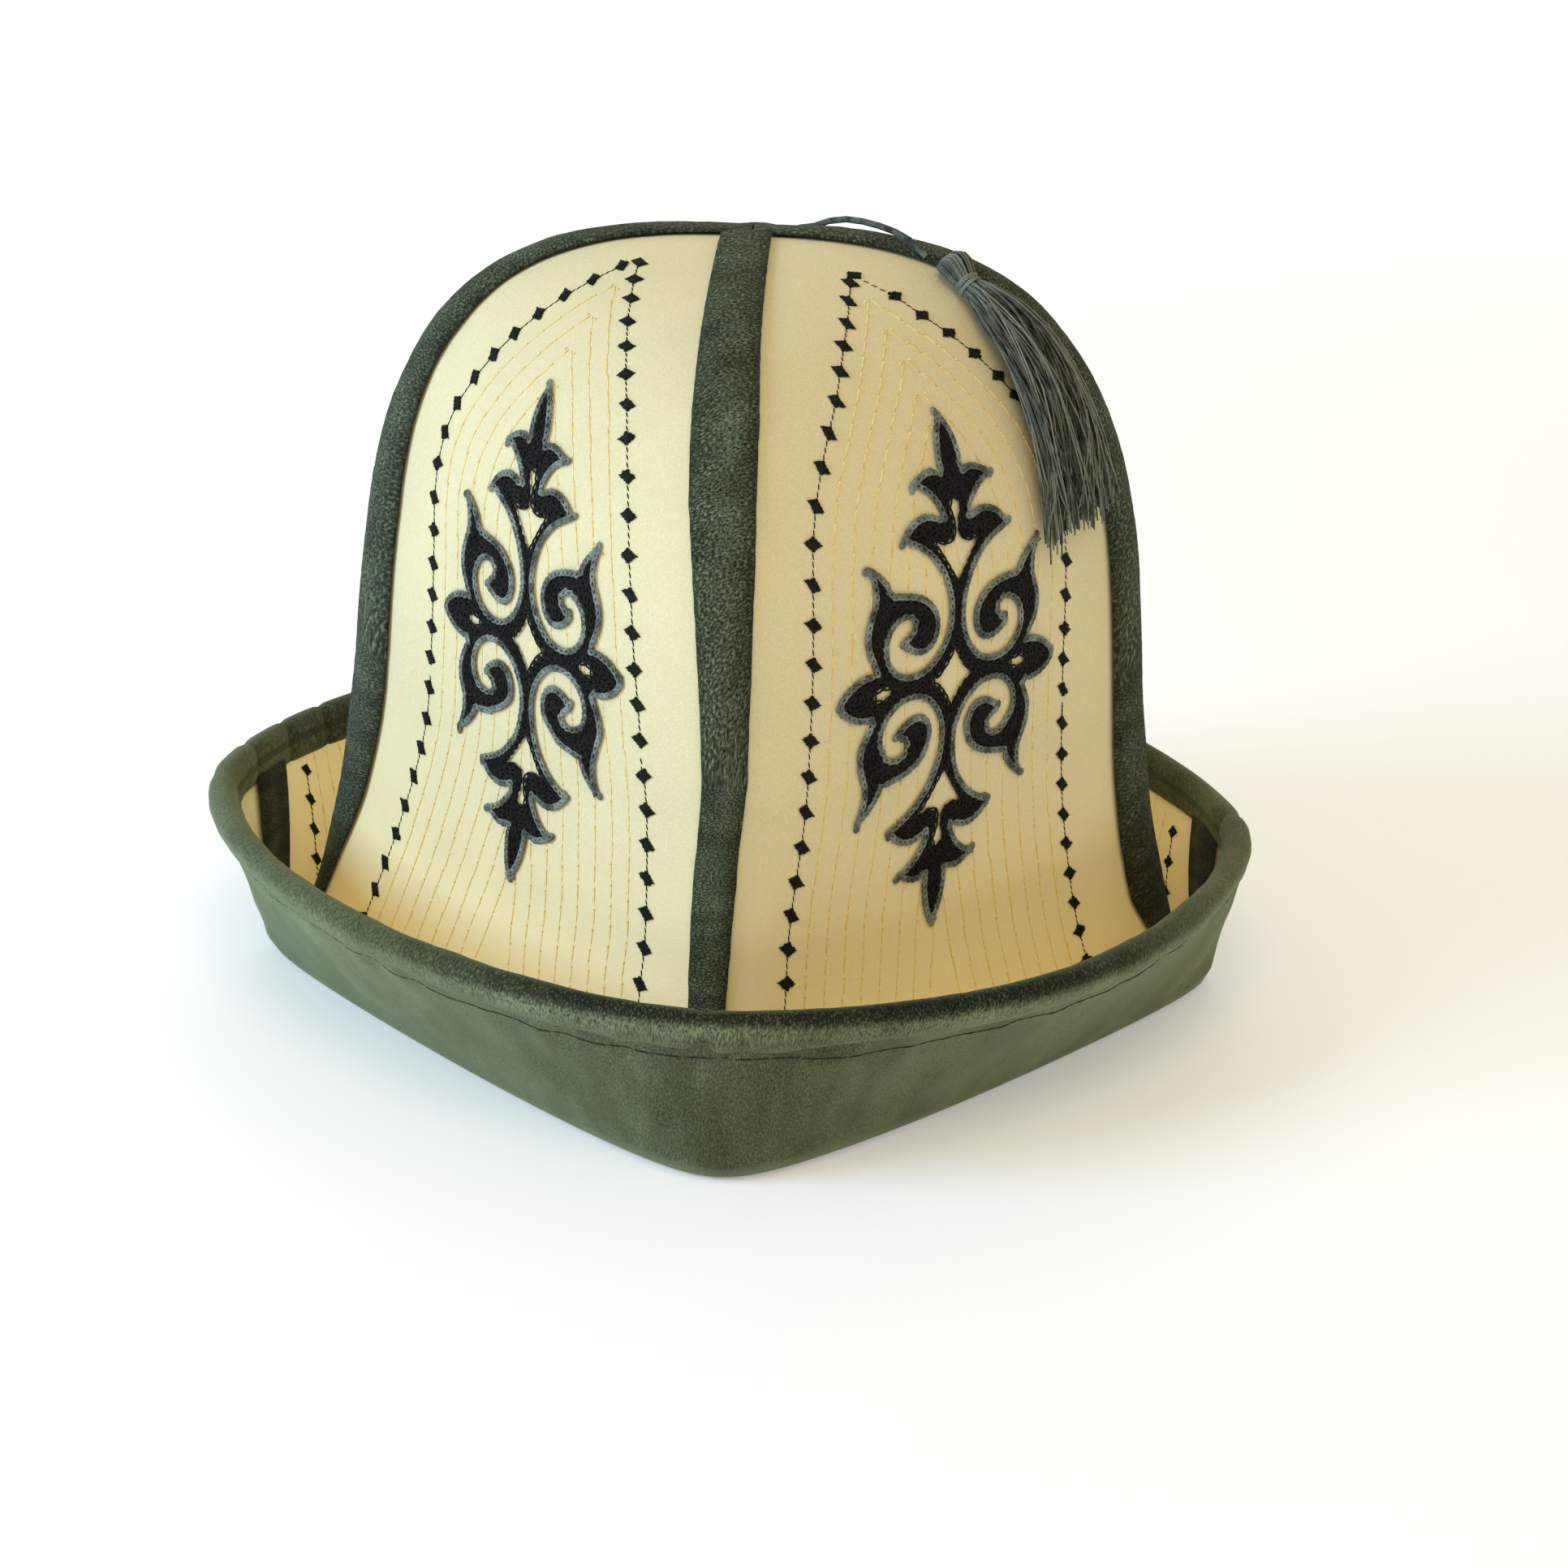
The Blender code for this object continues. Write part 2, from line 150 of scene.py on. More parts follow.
# Each gore's first and second corner, going round by increasing angle
GORES = {
    "back_right": ("right", "back"),
    "back_left": ("back", "left"),
    "front_left": ("left", "front"),
    "front_right": ("front", "right"),
}


# The felt's surface, from the apex down the crown, round the fold and up to the rim


def unit(vectors):
    """Vectors at a length of one."""
    return vectors / np.linalg.norm(vectors, axis=-1, keepdims=True)


def lengths_along(points):
    """How far along its line each point is."""
    return np.r_[0, np.linalg.norm(np.diff(points, axis=0), axis=1).cumsum()]


def bell(distance):
    """1 at a place, falling away smoothly to 0 on both sides of it."""
    return np.exp(-(distance**2))


def ramp(value, start, length, low=0, high=1):
    """Grows from 0 where a value passes a start to 1 at a length past it, between limits."""
    return np.clip((value - start) / length, low, high)


def section(angle, squareness, roundness=RIDGE_ROUNDNESS):
    """Radius of a soft-cornered square, as a share of its corner radius; 2 is a circle."""

    def size(a):
        ridge = roundness**2
        across = (np.cos(a) ** 2 + ridge) ** (squareness / 2)
        along = (np.sin(a) ** 2 + ridge) ** (squareness / 2)
        return (across + along) ** (-1 / squareness)

    return size(angle) / size(0.0)


def fall(across, height):
    """How far the crown's top lies lower at a distance from its side seams."""
    fade = np.clip((height - TOP_FALL_FROM) / (CROWN_HEIGHT - TOP_FALL_FROM), 0, 1)
    depth = TOP_FALL * (1 - 1 / np.sqrt(1 + (across / TOP_FALL_REACH) ** 2))
    return depth * fade**2 * (3 - 2 * fade)


def crown_point(angle, height):
    """Points on the outside of the crown."""
    squareness = np.interp(height, SQUARENESS_HEIGHTS, CROWN_SQUARENESS)
    rise = np.clip((height - DOME_BASE) / (CROWN_HEIGHT - DOME_BASE), 0, 1)
    dome = (1 - rise**DOME_FULLNESS) ** (1 / DOME_FULLNESS)
    radius = (DOME_RADIUS + FLARE * np.exp(-height / FLARE_HEIGHT)) * dome
    radius = radius * section(angle, squareness)
    share = height / CROWN_HEIGHT
    turned = angle - CROWN_TWIST * share
    x = AXIS_X + radius * np.cos(turned) + CROWN_LEAN * share**3
    y = radius * np.sin(turned) + APEX_BACK * share**6
    return np.stack([x, y, height - fall(y, height)], -1)


def crown_field(point):
    """Negative inside the crown, zero on its surface."""
    height = point[..., 2]
    for _ in range(4):
        height = point[..., 2] + fall(point[..., 1], height)
    share = height / CROWN_HEIGHT
    x = point[..., 0] - AXIS_X - CROWN_LEAN * share**3
    y = point[..., 1] - APEX_BACK * share**6
    angle = np.arctan2(y, x) + CROWN_TWIST * share
    squareness = np.interp(height, SQUARENESS_HEIGHTS, CROWN_SQUARENESS)
    radius = DOME_RADIUS + FLARE * np.exp(-height / FLARE_HEIGHT)
    reach = np.hypot(x, y) / (radius * section(angle, squareness))
    rise = np.clip(height - DOME_BASE, 0, None) / (CROWN_HEIGHT - DOME_BASE)
    return reach**DOME_FULLNESS + rise**DOME_FULLNESS - 1


def settled(point, inward):
    """The points moved along a direction until they lie on the crown."""
    near = np.full(point.shape[:-1], -0.004)
    far = np.full(point.shape[:-1], 0.030)
    for _ in range(30):
        middle = (near + far) / 2
        outside = crown_field(point + inward * middle[..., None]) > 0
        near = np.where(outside, middle, near)
        far = np.where(outside, far, middle)
    return point + inward * near[..., None]


def between_corners(angle, column):
    """A size from the table of corners, blended between the two corners beside a direction."""
    total = 0.0
    for row in CORNERS.values():
        nearness = np.clip(np.cos(angle - math.radians(row[0])), 0.0, None)
        total = total + row[column] * nearness**2
    return total


def brim_point(angle, share):
    """Points on the brim's inner face, from the fold at share 0 to the rim's crest at 1."""
    foot = between_corners(angle, 1) * section(angle, FOLD_SQUARENESS)
    squareness = np.interp(np.sin(angle), (-1, 1), RIM_SQUARENESS)
    rim = between_corners(angle, 2) * section(angle, squareness, RIM_ROUNDNESS)
    quarter = np.floor(angle / (math.pi / 2)).astype(int) % 4
    top = between_corners(angle, 3) - np.array(RIM_SAGS)[quarter] * np.sin(2 * angle) ** 2
    radius = foot + (rim - foot) * share
    height = FOLD_TOP + (top - FOLD_TOP) * share
    return np.stack([AXIS_X + radius * np.cos(angle), radius * np.sin(angle), height], -1)


def felt_point(angle, way):
    """Points on the felt's visible side.

    The way runs from the apex (0) down the dome (1) and the side (2), round the fold (3)
    and up the brim's inner face to the rim (4).
    """
    angle, way = np.broadcast_arrays(np.asarray(angle, float), np.asarray(way, float))
    on_dome = np.clip(way, 0, 1)
    rise = np.cos(on_dome * math.pi / 2).clip(0) ** (2 / DOME_FULLNESS)
    dome_height = DOME_BASE + (CROWN_HEIGHT - DOME_BASE) * rise
    side_height = DOME_BASE + (FOLD_TOP - DOME_BASE) * (np.clip(way, 1, 2) - 1)
    crown = crown_point(angle, np.where(way < 1, dome_height, side_height))
    brim = brim_point(angle, np.clip(way, 3, 5) - 3)
    turn = ((np.clip(way, 2, 3) - 2) * math.pi)[..., None]
    middle, half = (crown + brim) / 2, (crown - brim) / 2
    fold = middle + half * np.cos(turn)
    fold[..., 2] = FOLD_TOP - FOLD_DEPTH * np.sin(turn[..., 0])
    on_crown, on_fold = (way < 2)[..., None], (way < 3)[..., None]
    return np.where(on_crown, crown, np.where(on_fold, fold, brim))


def felt_normal(angle, way):
    """Unit normals of the felt on its visible side."""
    step = 1e-3
    across = felt_point(angle + step, way) - felt_point(angle - step, way)
    along = felt_point(angle, way + step) - felt_point(angle, np.maximum(way - step, 1e-5))
    return unit(np.cross(along, across))


def lifted(angle, way, lift):
    """Points at a distance from the felt's visible side; below it where lift is negative."""
    return felt_point(angle, way) + felt_normal(angle, way) * np.asarray(lift)[..., None]


def seam_angle(corner, way):
    """Direction of a seam in radians, which strays a little from its corner."""
    on_crown, at_fold, at_rim = SEAMS[corner][:3]
    strays = (0.0, on_crown, on_crown, at_fold, at_fold, at_rim)
    return np.radians(CORNERS[corner][0] + np.interp(way, STRAY_WAYS, strays))


def column_angle(gore, column, way):
    """Direction of a column of a gore, counted in degrees from its first seam to its second."""
    first_corner, second_corner = GORES[gore]
    first, second = seam_angle(first_corner, way), seam_angle(second_corner, way)
    second = np.where(second < first, second + 2 * math.pi, second)
    return first + (second - first) * column / 90


def from_axis(points):
    """How far points are from the axis of the seams."""
    return np.linalg.norm(points[..., :2] - [AXIS_X, 0], axis=-1)


def even_ways(first, last, share):
    """Ways along the felt at even distances, for shares from 0 to 1."""
    ways = np.linspace(first, last, 800)
    lengths = lengths_along(felt_point(np.full(len(ways), math.radians(45)), ways))
    return np.interp(share * lengths[-1], lengths, ways)


# Making and changing pieces


def select_only(piece):
    """Leaves that piece alone selected and active."""
    bpy.ops.object.select_all(action="DESELECT")
    piece.select_set(True)
    bpy.context.view_layer.objects.active = piece


def grid(name, columns, rows):
    """A flat grid with UVs, and its vertices' places in it as two shares from 0 to 1."""
    bpy.ops.mesh.primitive_grid_add(x_subdivisions=columns, y_subdivisions=rows, size=1)
    piece = bpy.context.object
    piece.name = piece.data.name = name
    places = vertex_places(piece) + 0.5
    return piece, places[:, 0], places[:, 1]


def vertex_places(piece):
    """The places of a piece's vertices as an array."""
    places = np.empty(len(piece.data.vertices) * 3)
    piece.data.vertices.foreach_get("co", places)
    return places.reshape(-1, 3)


def move_vertices(piece, places):
    """Puts a piece's vertices at those places."""
    piece.data.vertices.foreach_set("co", np.ascontiguousarray(places, float).ravel())
    piece.data.update()


def finish_piece(piece, cloth, *nodes, slot=None):
    """Gives a piece its material and its place on the hat, and hides the solids that it stands for.
    """
    piece.data.materials.clear()
    piece.data.materials.append(cloth)
    select_only(piece)
    bpy.ops.object.shade_smooth()
    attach(piece, "root")
    if nodes:
        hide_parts(*nodes)
    return piece


def new_piece(name, places, faces):
    """A piece made of vertices and faces."""
    data = bpy.data.meshes.new(name)
    data.from_pydata(places.reshape(-1, 3).tolist(), [], faces)
    data.update()
    piece = bpy.data.objects.new(name, data)
    bpy.context.scene.collection.objects.link(piece)
    return piece


def edit_whole(piece, change, **how):
    """Runs one of the edit mode's operators on a whole piece."""
    select_only(piece)
    bpy.ops.object.mode_set(mode="EDIT")
    bpy.ops.mesh.select_all(action="SELECT")
    change(**how)
    bpy.ops.object.mode_set(mode="OBJECT")


def thicken(piece, thickness):
    """Gives a sheet its thickness, behind its visible side."""
    select_only(piece)
    wall = piece.modifiers.new("wall", "SOLIDIFY")
    wall.thickness = thickness
    wall.offset = -1
    bpy.ops.object.modifier_apply(modifier=wall.name)


RIPPLE_WAVES = 10


def ripple(points, wavelength, seed):
    """Soft unevenness between -1 and 1, made of sine waves in random directions."""
    chance = np.random.default_rng(seed)
    total = np.zeros(points.shape[:-1])
    for _ in range(RIPPLE_WAVES):
        direction = chance.normal(size=3)
        direction /= np.linalg.norm(direction)
        stretch = wavelength * chance.uniform(0.7, 1.6)
        phase = chance.uniform(0, 2 * math.pi)
        total += np.sin(points @ direction * 2 * math.pi / stretch + phase)
    return total / math.sqrt(RIPPLE_WAVES) / 1.5


def ripples(points, rows):
    """Ripples laid over one another, from rows of (wavelength, seed, height)."""
    return sum(ripple(points, wavelength, seed) * height for wavelength, seed, height in rows)


# The panels between the strips, where the embroidery lies


class Panel:
    """A gore's face in millimetres: u across from its middle, v down from the apex."""

    WAYS = np.concatenate([np.linspace(0.004, 1, 120), np.linspace(1, 2, 120)[1:]])
    ANGLES = np.radians(np.linspace(-52, 52, 157))

    def __init__(self, name):
        self.name = name
        first, _ = GORES[name]
        self.middle = math.radians(CORNERS[first][0] + 45)
        points = felt_point(self.middle + self.ANGLES, self.WAYS[:, None]) * 1000
        across = np.linalg.norm(np.diff(points, axis=1), axis=2).cumsum(1)
        across = np.hstack([np.zeros((len(points), 1)), across])
        centre = len(self.ANGLES) // 2
        self.across = across - across[:, centre : centre + 1]
        apex = felt_point(self.middle, 1e-4) * 1000
        self.down = lengths_along(points[:, centre]) + np.linalg.norm(points[0, centre] - apex)

    def place(self, u, v):
        """The angle and the way of points on the crown's side of the gore."""
        row = np.interp(v, self.down, np.arange(len(self.down)))
        low = row.astype(int).clip(0, len(self.down) - 2)
        share = (row - low)[:, None]
        across = self.across[low] * (1 - share) + self.across[low + 1] * share
        column = (across < u[:, None]).sum(1).clip(1, len(self.ANGLES) - 1) - 1
        points = np.arange(len(u))
        before, after = across[points, column], across[points, column + 1]
        step = self.ANGLES[1] - self.ANGLES[0]
        angle = self.ANGLES[column] + (u - before) / (after - before) * step
        return self.middle + angle, np.interp(v, self.down, self.WAYS)

    def column(self, angle, way):
        """The column of a direction at a way, from 0 at the first seam to 90 at the second."""
        first = column_angle(self.name, 0.0, way)
        second = column_angle(self.name, 90.0, way)
        return (angle - first) / (second - first) * 90


def smooth_line(points, step):
    """A smooth line through a few points, resampled at even steps."""
    points = np.asarray(points, float)
    padded = np.vstack([2 * points[0] - points[1], points, 2 * points[-1] - points[-2]])
    pieces = []
    for before, start, end, after in zip(padded, padded[1:], padded[2:], padded[3:]):
        t = np.linspace(0, 1, 24, endpoint=False)[:, None]
        pull, push = (end - before) / 2, (after - start) / 2
        pieces.append(
            start * (2 * t**3 - 3 * t**2 + 1)
            + pull * (t**3 - 2 * t**2 + t)
            + end * (3 * t**2 - 2 * t**3)
            + push * (t**3 - t**2)
        )
    return resampled(np.vstack([*pieces, points[-1:]]), step)


def resampled(line, step):
    """A line's points again, at even steps along it."""
    lengths = lengths_along(line)
    count = max(int(round(lengths[-1] / step)), 2)
    places = np.linspace(0, lengths[-1], count + 1)
    return np.stack([np.interp(places, lengths, line[:, i]) for i in range(line.shape[1])], 1)


# The ornament's quarter in millimetres from its centre, right and up: smooth runs between corners
ORNAMENT_OUTLINE = (
    ((0, 55.5), (1.3, 53.2), (2.3, 50.6), (2.9, 47.6), (3.1, 45.2), (2.9, 43.0)),
    ((2.9, 43.0), (4.8, 43.7), (7.0, 43.5), (9.2, 42.5), (11.1, 41.2)),
    ((11.1, 41.2), (9.0, 40.4), (6.8, 38.9), (5.2, 37.0), (4.1, 35.2), (3.5, 33.5)),
    ((3.5, 33.5), (5.2, 34.2), (7.6, 34.8), (10.2, 34.4), (12.6, 33.0), (14.8, 30.6)),
    (
        (14.8, 30.6), (12.6, 29.5), (10.2, 28.3), (7.9, 26.7), (5.9, 24.6), (4.2, 22.2),
        (3.0, 19.4), (2.2, 16.4), (2.0, 13.2), (2.5, 10.2), (3.7, 7.4), (5.6, 5.0),
        (8.0, 3.3), (10.8, 2.6), (13.6, 2.9), (16.0, 4.2), (17.8, 6.3), (18.6, 8.9),
        (18.3, 11.5), (16.9, 13.6), (14.7, 14.7), (12.7, 14.4), (11.7, 13.1),
    ),
    ((11.7, 13.1), (12.5, 11.8), (13.7, 10.8), (14.7, 9.9)),
    (
        (14.7, 9.9), (13.4, 8.4), (11.4, 7.2), (9.1, 6.8), (7.0, 7.6), (5.6, 9.4),
        (5.1, 11.8), (5.5, 14.2), (6.9, 16.4), (9.2, 18.2), (12.0, 19.3), (15.0, 19.9),
        (17.5, 20.3),
    ),
    ((17.5, 20.3), (18.4, 22.1), (19.8, 23.9), (21.6, 25.5), (23.8, 26.8)),
    (
        (23.8, 26.8), (22.9, 24.4), (22.3, 21.9), (22.3, 19.4), (23.2, 16.8), (24.0, 14.2),
        (24.1, 11.6), (23.4, 9.0), (22.3, 6.8), (21.4, 4.9),
    ),
    ((21.4, 4.9), (23.4, 4.8), (25.8, 4.2), (28.0, 3.0), (29.6, 1.5), (30.4, 0)),
)
# The felt that shows inside it, in quarters of the same kind, the last two closed across an axis
CENTRE_DIAMOND = (((5.3, 0), (3.6, 1.2), (2.3, 2.6), (1.2, 4.1), (0, 6.1)),)
FORK = (
    ((0, 20.4), (1.7, 22.9), (3.5, 25.6), (5.8, 28.8)),
    ((5.8, 28.8), (3.8, 28.4), (1.9, 28.6), (0.5, 29.9)),
    ((0.5, 29.9), (0.35, 31.6), (0.6, 33.6), (1.1, 35.2), (0.8, 36.7), (0, 37.1)),
)
KNOB_HOLE = (((20.9, 0), (20.3, 0.75), (19.0, 0.95), (17.8, 0.7), (17.1, 0)),)


def quarter_line(runs, step):
    """The line of a quarter through its smooth runs, with its corners kept."""
    lines = [smooth_line(run, step) for run in runs]
    return np.vstack([line[:-1] for line in lines] + [lines[-1][-1:]])


def closed_by_mirrors(line, both=True):
    """A closed outline from a quarter or a half, mirrored over one or both axes."""
    right = np.vstack([line, (line * [1, -1])[::-1][1:]]) if both else line
    left = (right * [-1, 1])[::-1]
    return np.vstack([right, left[1:-1]])


def ornament_lines(step):
    """The ornament's outline and the outlines of the felt that shows inside it."""
    outline = closed_by_mirrors(quarter_line(ORNAMENT_OUTLINE, step))
    diamond = closed_by_mirrors(quarter_line(CENTRE_DIAMOND, step)[::-1])
    fork = closed_by_mirrors(quarter_line(FORK, step), both=False)
    hole = quarter_line(KNOB_HOLE, step)
    knob = np.vstack([hole, (hole * [1, -1])[::-1][1:-1]])
    holes = [diamond, fork, fork * [1, -1], knob, knob * [-1, 1]]
    return outline, holes


def inside(points, outline):
    """Which points lie inside a closed outline."""
    following = np.roll(outline, -1, axis=0)
    x, y = points[:, 0, None], points[:, 1, None]
    crosses = (outline[:, 1] > y) != (following[:, 1] > y)
    rise = following[:, 1] - outline[:, 1]
    rise = np.where(rise == 0, 1e-9, rise)
    meets = outline[:, 0] + (y - outline[:, 1]) / rise * (following[:, 0] - outline[:, 0])
    return (crosses & (x < meets)).sum(1) % 2 == 1


def nearest(points, line):
    """Distance from each point to the closest point of a line."""
    parts = np.array_split(points, max(len(points) // 2000, 1))
    found = [np.linalg.norm(p[:, None] - line[None], axis=2).min(1) for p in parts]
    return np.concatenate(found)


def worked(points, outline, holes):
    """Which points are covered by the ornament's stitches."""
    covered = inside(points, outline)
    for hole in holes:
        covered &= ~inside(points, hole)
    return covered


def inwards(line, ahead, outline, holes):
    """Directions from an edge of the ornament to the side that is stitched."""
    inward = np.stack([-ahead[:, 1], ahead[:, 0]], 1)
    return inward if worked(line + inward * 0.2, outline, holes).mean() >= 0.5 else -inward


def stitch_rows(outline, holes, pitch, spacing, rows):
    """Places and directions of chain stitches in rows that follow the outline inwards."""
    edges = np.vstack([outline, *holes])
    places, headings = [], []
    for line in (outline, *holes):
        ahead = unit(np.roll(line, -1, axis=0) - np.roll(line, 1, axis=0))
        inward = inwards(line, ahead, outline, holes)
        for row in range(rows):
            depth = spacing * row + (FILL_FROM_GREY if line is outline else FILL_FROM_HOLES)
            offset = line + inward * depth
            free = nearest(offset, edges) > depth - FILL_PLAY
            free &= worked(offset, outline, holes)
            gone = np.linalg.norm(np.roll(offset, -1, axis=0) - offset, axis=1) * free
            count = (gone.cumsum() / pitch).astype(int)
            starts = np.flatnonzero((np.diff(count, prepend=-1) > 0) & free)
            places.append(offset[starts])
            headings.append(ahead[starts])
    return np.vstack(places), np.vstack(headings)


def along_outline(outline, pitch):
    """Places and directions of stitches at an even pitch along a closed outline."""
    line = resampled(np.vstack([outline, outline[:1]]), pitch)[:-1]
    return line, unit(np.roll(line, -1, axis=0) - line)


# The stitches: one of each is modelled and copied along its line. A link of chain stitch is a
# ring, longer than it is wide, narrower ahead and higher there
LINK_RADII = (0.31, 0.20)
LINK_LONGER = 1.25
LINK_NARROWER = 0.42
LINK_LIFT = 0.16


def one_stitch(sides, rings):
    """The mesh of one stitch, a unit long and half a unit thick and high, as two arrays."""
    bpy.ops.mesh.primitive_uv_sphere_add(segments=sides, ring_count=rings, radius=0.5)
    piece = bpy.context.object
    select_only(piece)
    bpy.ops.transform.rotate(value=math.pi / 2, orient_axis="Y", center_override=(0, 0, 0))
    bpy.ops.object.transform_apply(location=False, rotation=True, scale=False)
    return mesh_arrays(piece)


def one_chain_link(sides, section_sides):
    """The mesh of one loop of chain stitch, a unit long and a unit wide, as two arrays."""
    major, minor = LINK_RADII
    bpy.ops.mesh.primitive_torus_add(
        major_segments=sides, minor_segments=section_sides, major_radius=major, minor_radius=minor
    )
    piece = bpy.context.object
    places = vertex_places(piece)
    along = places[:, 0] / 0.5
    places[:, 0] *= LINK_LONGER
    places[:, 1] *= 1.0 - LINK_NARROWER * along
    places[:, 2] += LINK_LIFT * along
    move_vertices(piece, places)
    return mesh_arrays(piece)


def mesh_arrays(piece):
    """A mesh's vertices and its faces, after which the mesh itself is removed."""
    places = vertex_places(piece)
    faces = [tuple(face.vertices) for face in piece.data.polygons]
    bpy.data.objects.remove(piece)
    return places, faces


def copies(name, model, origins, along, up, sizes):
    """One mesh of many copies of a model, each with its own place, directions and size."""
    shape, faces = model
    along = unit(along)
    side = unit(np.cross(up, along))
    up = np.cross(along, side)
    sizes = np.broadcast_to(sizes, (len(origins), 3))
    turned = (
        origins[:, None]
        + along[:, None] * (shape[:, 0] * sizes[:, :1])[..., None]
        + side[:, None] * (shape[:, 1] * sizes[:, 1:2])[..., None]
        + up[:, None] * (shape[:, 2] * sizes[:, 2:])[..., None]
    )
    firsts = range(0, len(origins) * len(shape), len(shape))
    return new_piece(name, turned, [tuple(v + i for v in face) for i in firsts for face in faces])


# How each panel's ornament is laid by hand, a little askew: the shares of 1, x, y, x y, y squared
# and x squared in its places across and down, for x to the right and y down in steps of 30 mm
ORNAMENT_PLACES = {
    "front_right": ((-5.74, 30.03, -3.77, -0.25, -0.28, 0.10),
                    (122.19, 0.38, 28.96, -1.27, -0.25, 1.26)),
    "front_left": ((8.98, 27.91, 1.21, 0.85, -1.66, -0.45),
                   (117.93, 1.06, 28.59, 0.39, -0.14, 0.12)),
    "back_left": ((-3.0, 29.2, 1.5, -0.4, 0.6, 0.2), (121.0, 0.5, 28.8, 0.4, 0.1, 0.5)),
    "back_right": ((3.0, 29.6, -1.8, 0.3, -0.5, -0.2), (120.5, -0.6, 28.9, -0.5, 0.2, 0.3)),
}
ORNAMENT_STEP = 30
OUTLINE_STEP = 0.3

# The rows of black stitches in the ornament's own millimetres, and their sizes in metres
FILL_FROM_GREY = 1.35
FILL_FROM_HOLES = 0.5
FILL_PITCH = 2.1
FILL_SPACING = 1.05
FILL_ROWS = 6
FILL_PLAY = 0.12
FILL_HEIGHT = 0.00075
FILL_LIFT = FILL_HEIGHT * 0.75
FILL_SIZE = (FILL_PITCH * 0.00125, FILL_SPACING * 0.00125, 0.0009)

# The grey chain stitch round it
CHAIN_PITCH = 1.5
CHAIN_WIDTH = 1.5
GREY_INSET = 0.45
GREY_LIFT = 0.0006
GREY_SIZE = (CHAIN_PITCH * 0.0016, CHAIN_WIDTH * 0.001, 0.0013)

# The raised ground under the black stitches: cells of a grid, and its slope and depth
GROUND_CELLS = np.array((80, 142))
GROUND_STEP = 0.8
GROUND_SLOPE = 0.8
GROUND_DEPTH = 0.0003
GROUND_WALL = 0.0004


def on_ornament(panel, points):
    """The angle and way on the felt of points in the ornament's own millimetres."""
    x, y = points[:, 0] / ORNAMENT_STEP, -points[:, 1] / ORNAMENT_STEP
    shares = np.stack([np.ones_like(x), x, y, x * y, y * y, x * x])
    u, v = np.array(ORNAMENT_PLACES[panel.name]) @ shares
    return panel.place(u, v)


def laid_stitches(name, model, panel, places, headings, sizes, lift, cloth):
    """Stitches laid on the ornament in its own millimetres."""
    angle, way = on_ornament(panel, places)
    start, out = felt_point(angle, way), felt_normal(angle, way)
    ahead = felt_point(*on_ornament(panel, places + headings * 0.5)) - start
    return finish_piece(copies(name, model, start + out * lift, ahead, out, sizes), cloth)


def ornament_fill(panel, outline, holes, cloth):
    """The raised ground of black stitches inside the ornament's outline."""
    piece, across, up = grid(f"ornament_ground_{panel.name}", *GROUND_CELLS)
    places = (np.stack([across, up], 1) - 0.5) * GROUND_CELLS * GROUND_STEP
    keep = worked(places, outline, holes)
    depth = np.where(keep, nearest(places, np.vstack([outline, *holes])), 0)
    lift = FILL_HEIGHT * (1 - np.exp(-depth / GROUND_SLOPE)) - GROUND_DEPTH
    move_vertices(piece, lifted(*on_ornament(panel, places), lift))
    editing = bmesh.new()
    editing.from_mesh(piece.data)
    editing.verts.ensure_lookup_table()
    loose = [v for v, kept in zip(editing.verts, keep) if not kept]
    bmesh.ops.delete(editing, geom=loose, context="VERTS")
    editing.to_mesh(piece.data)
    editing.free()
    thicken(piece, GROUND_WALL)
    return finish_piece(piece, cloth)


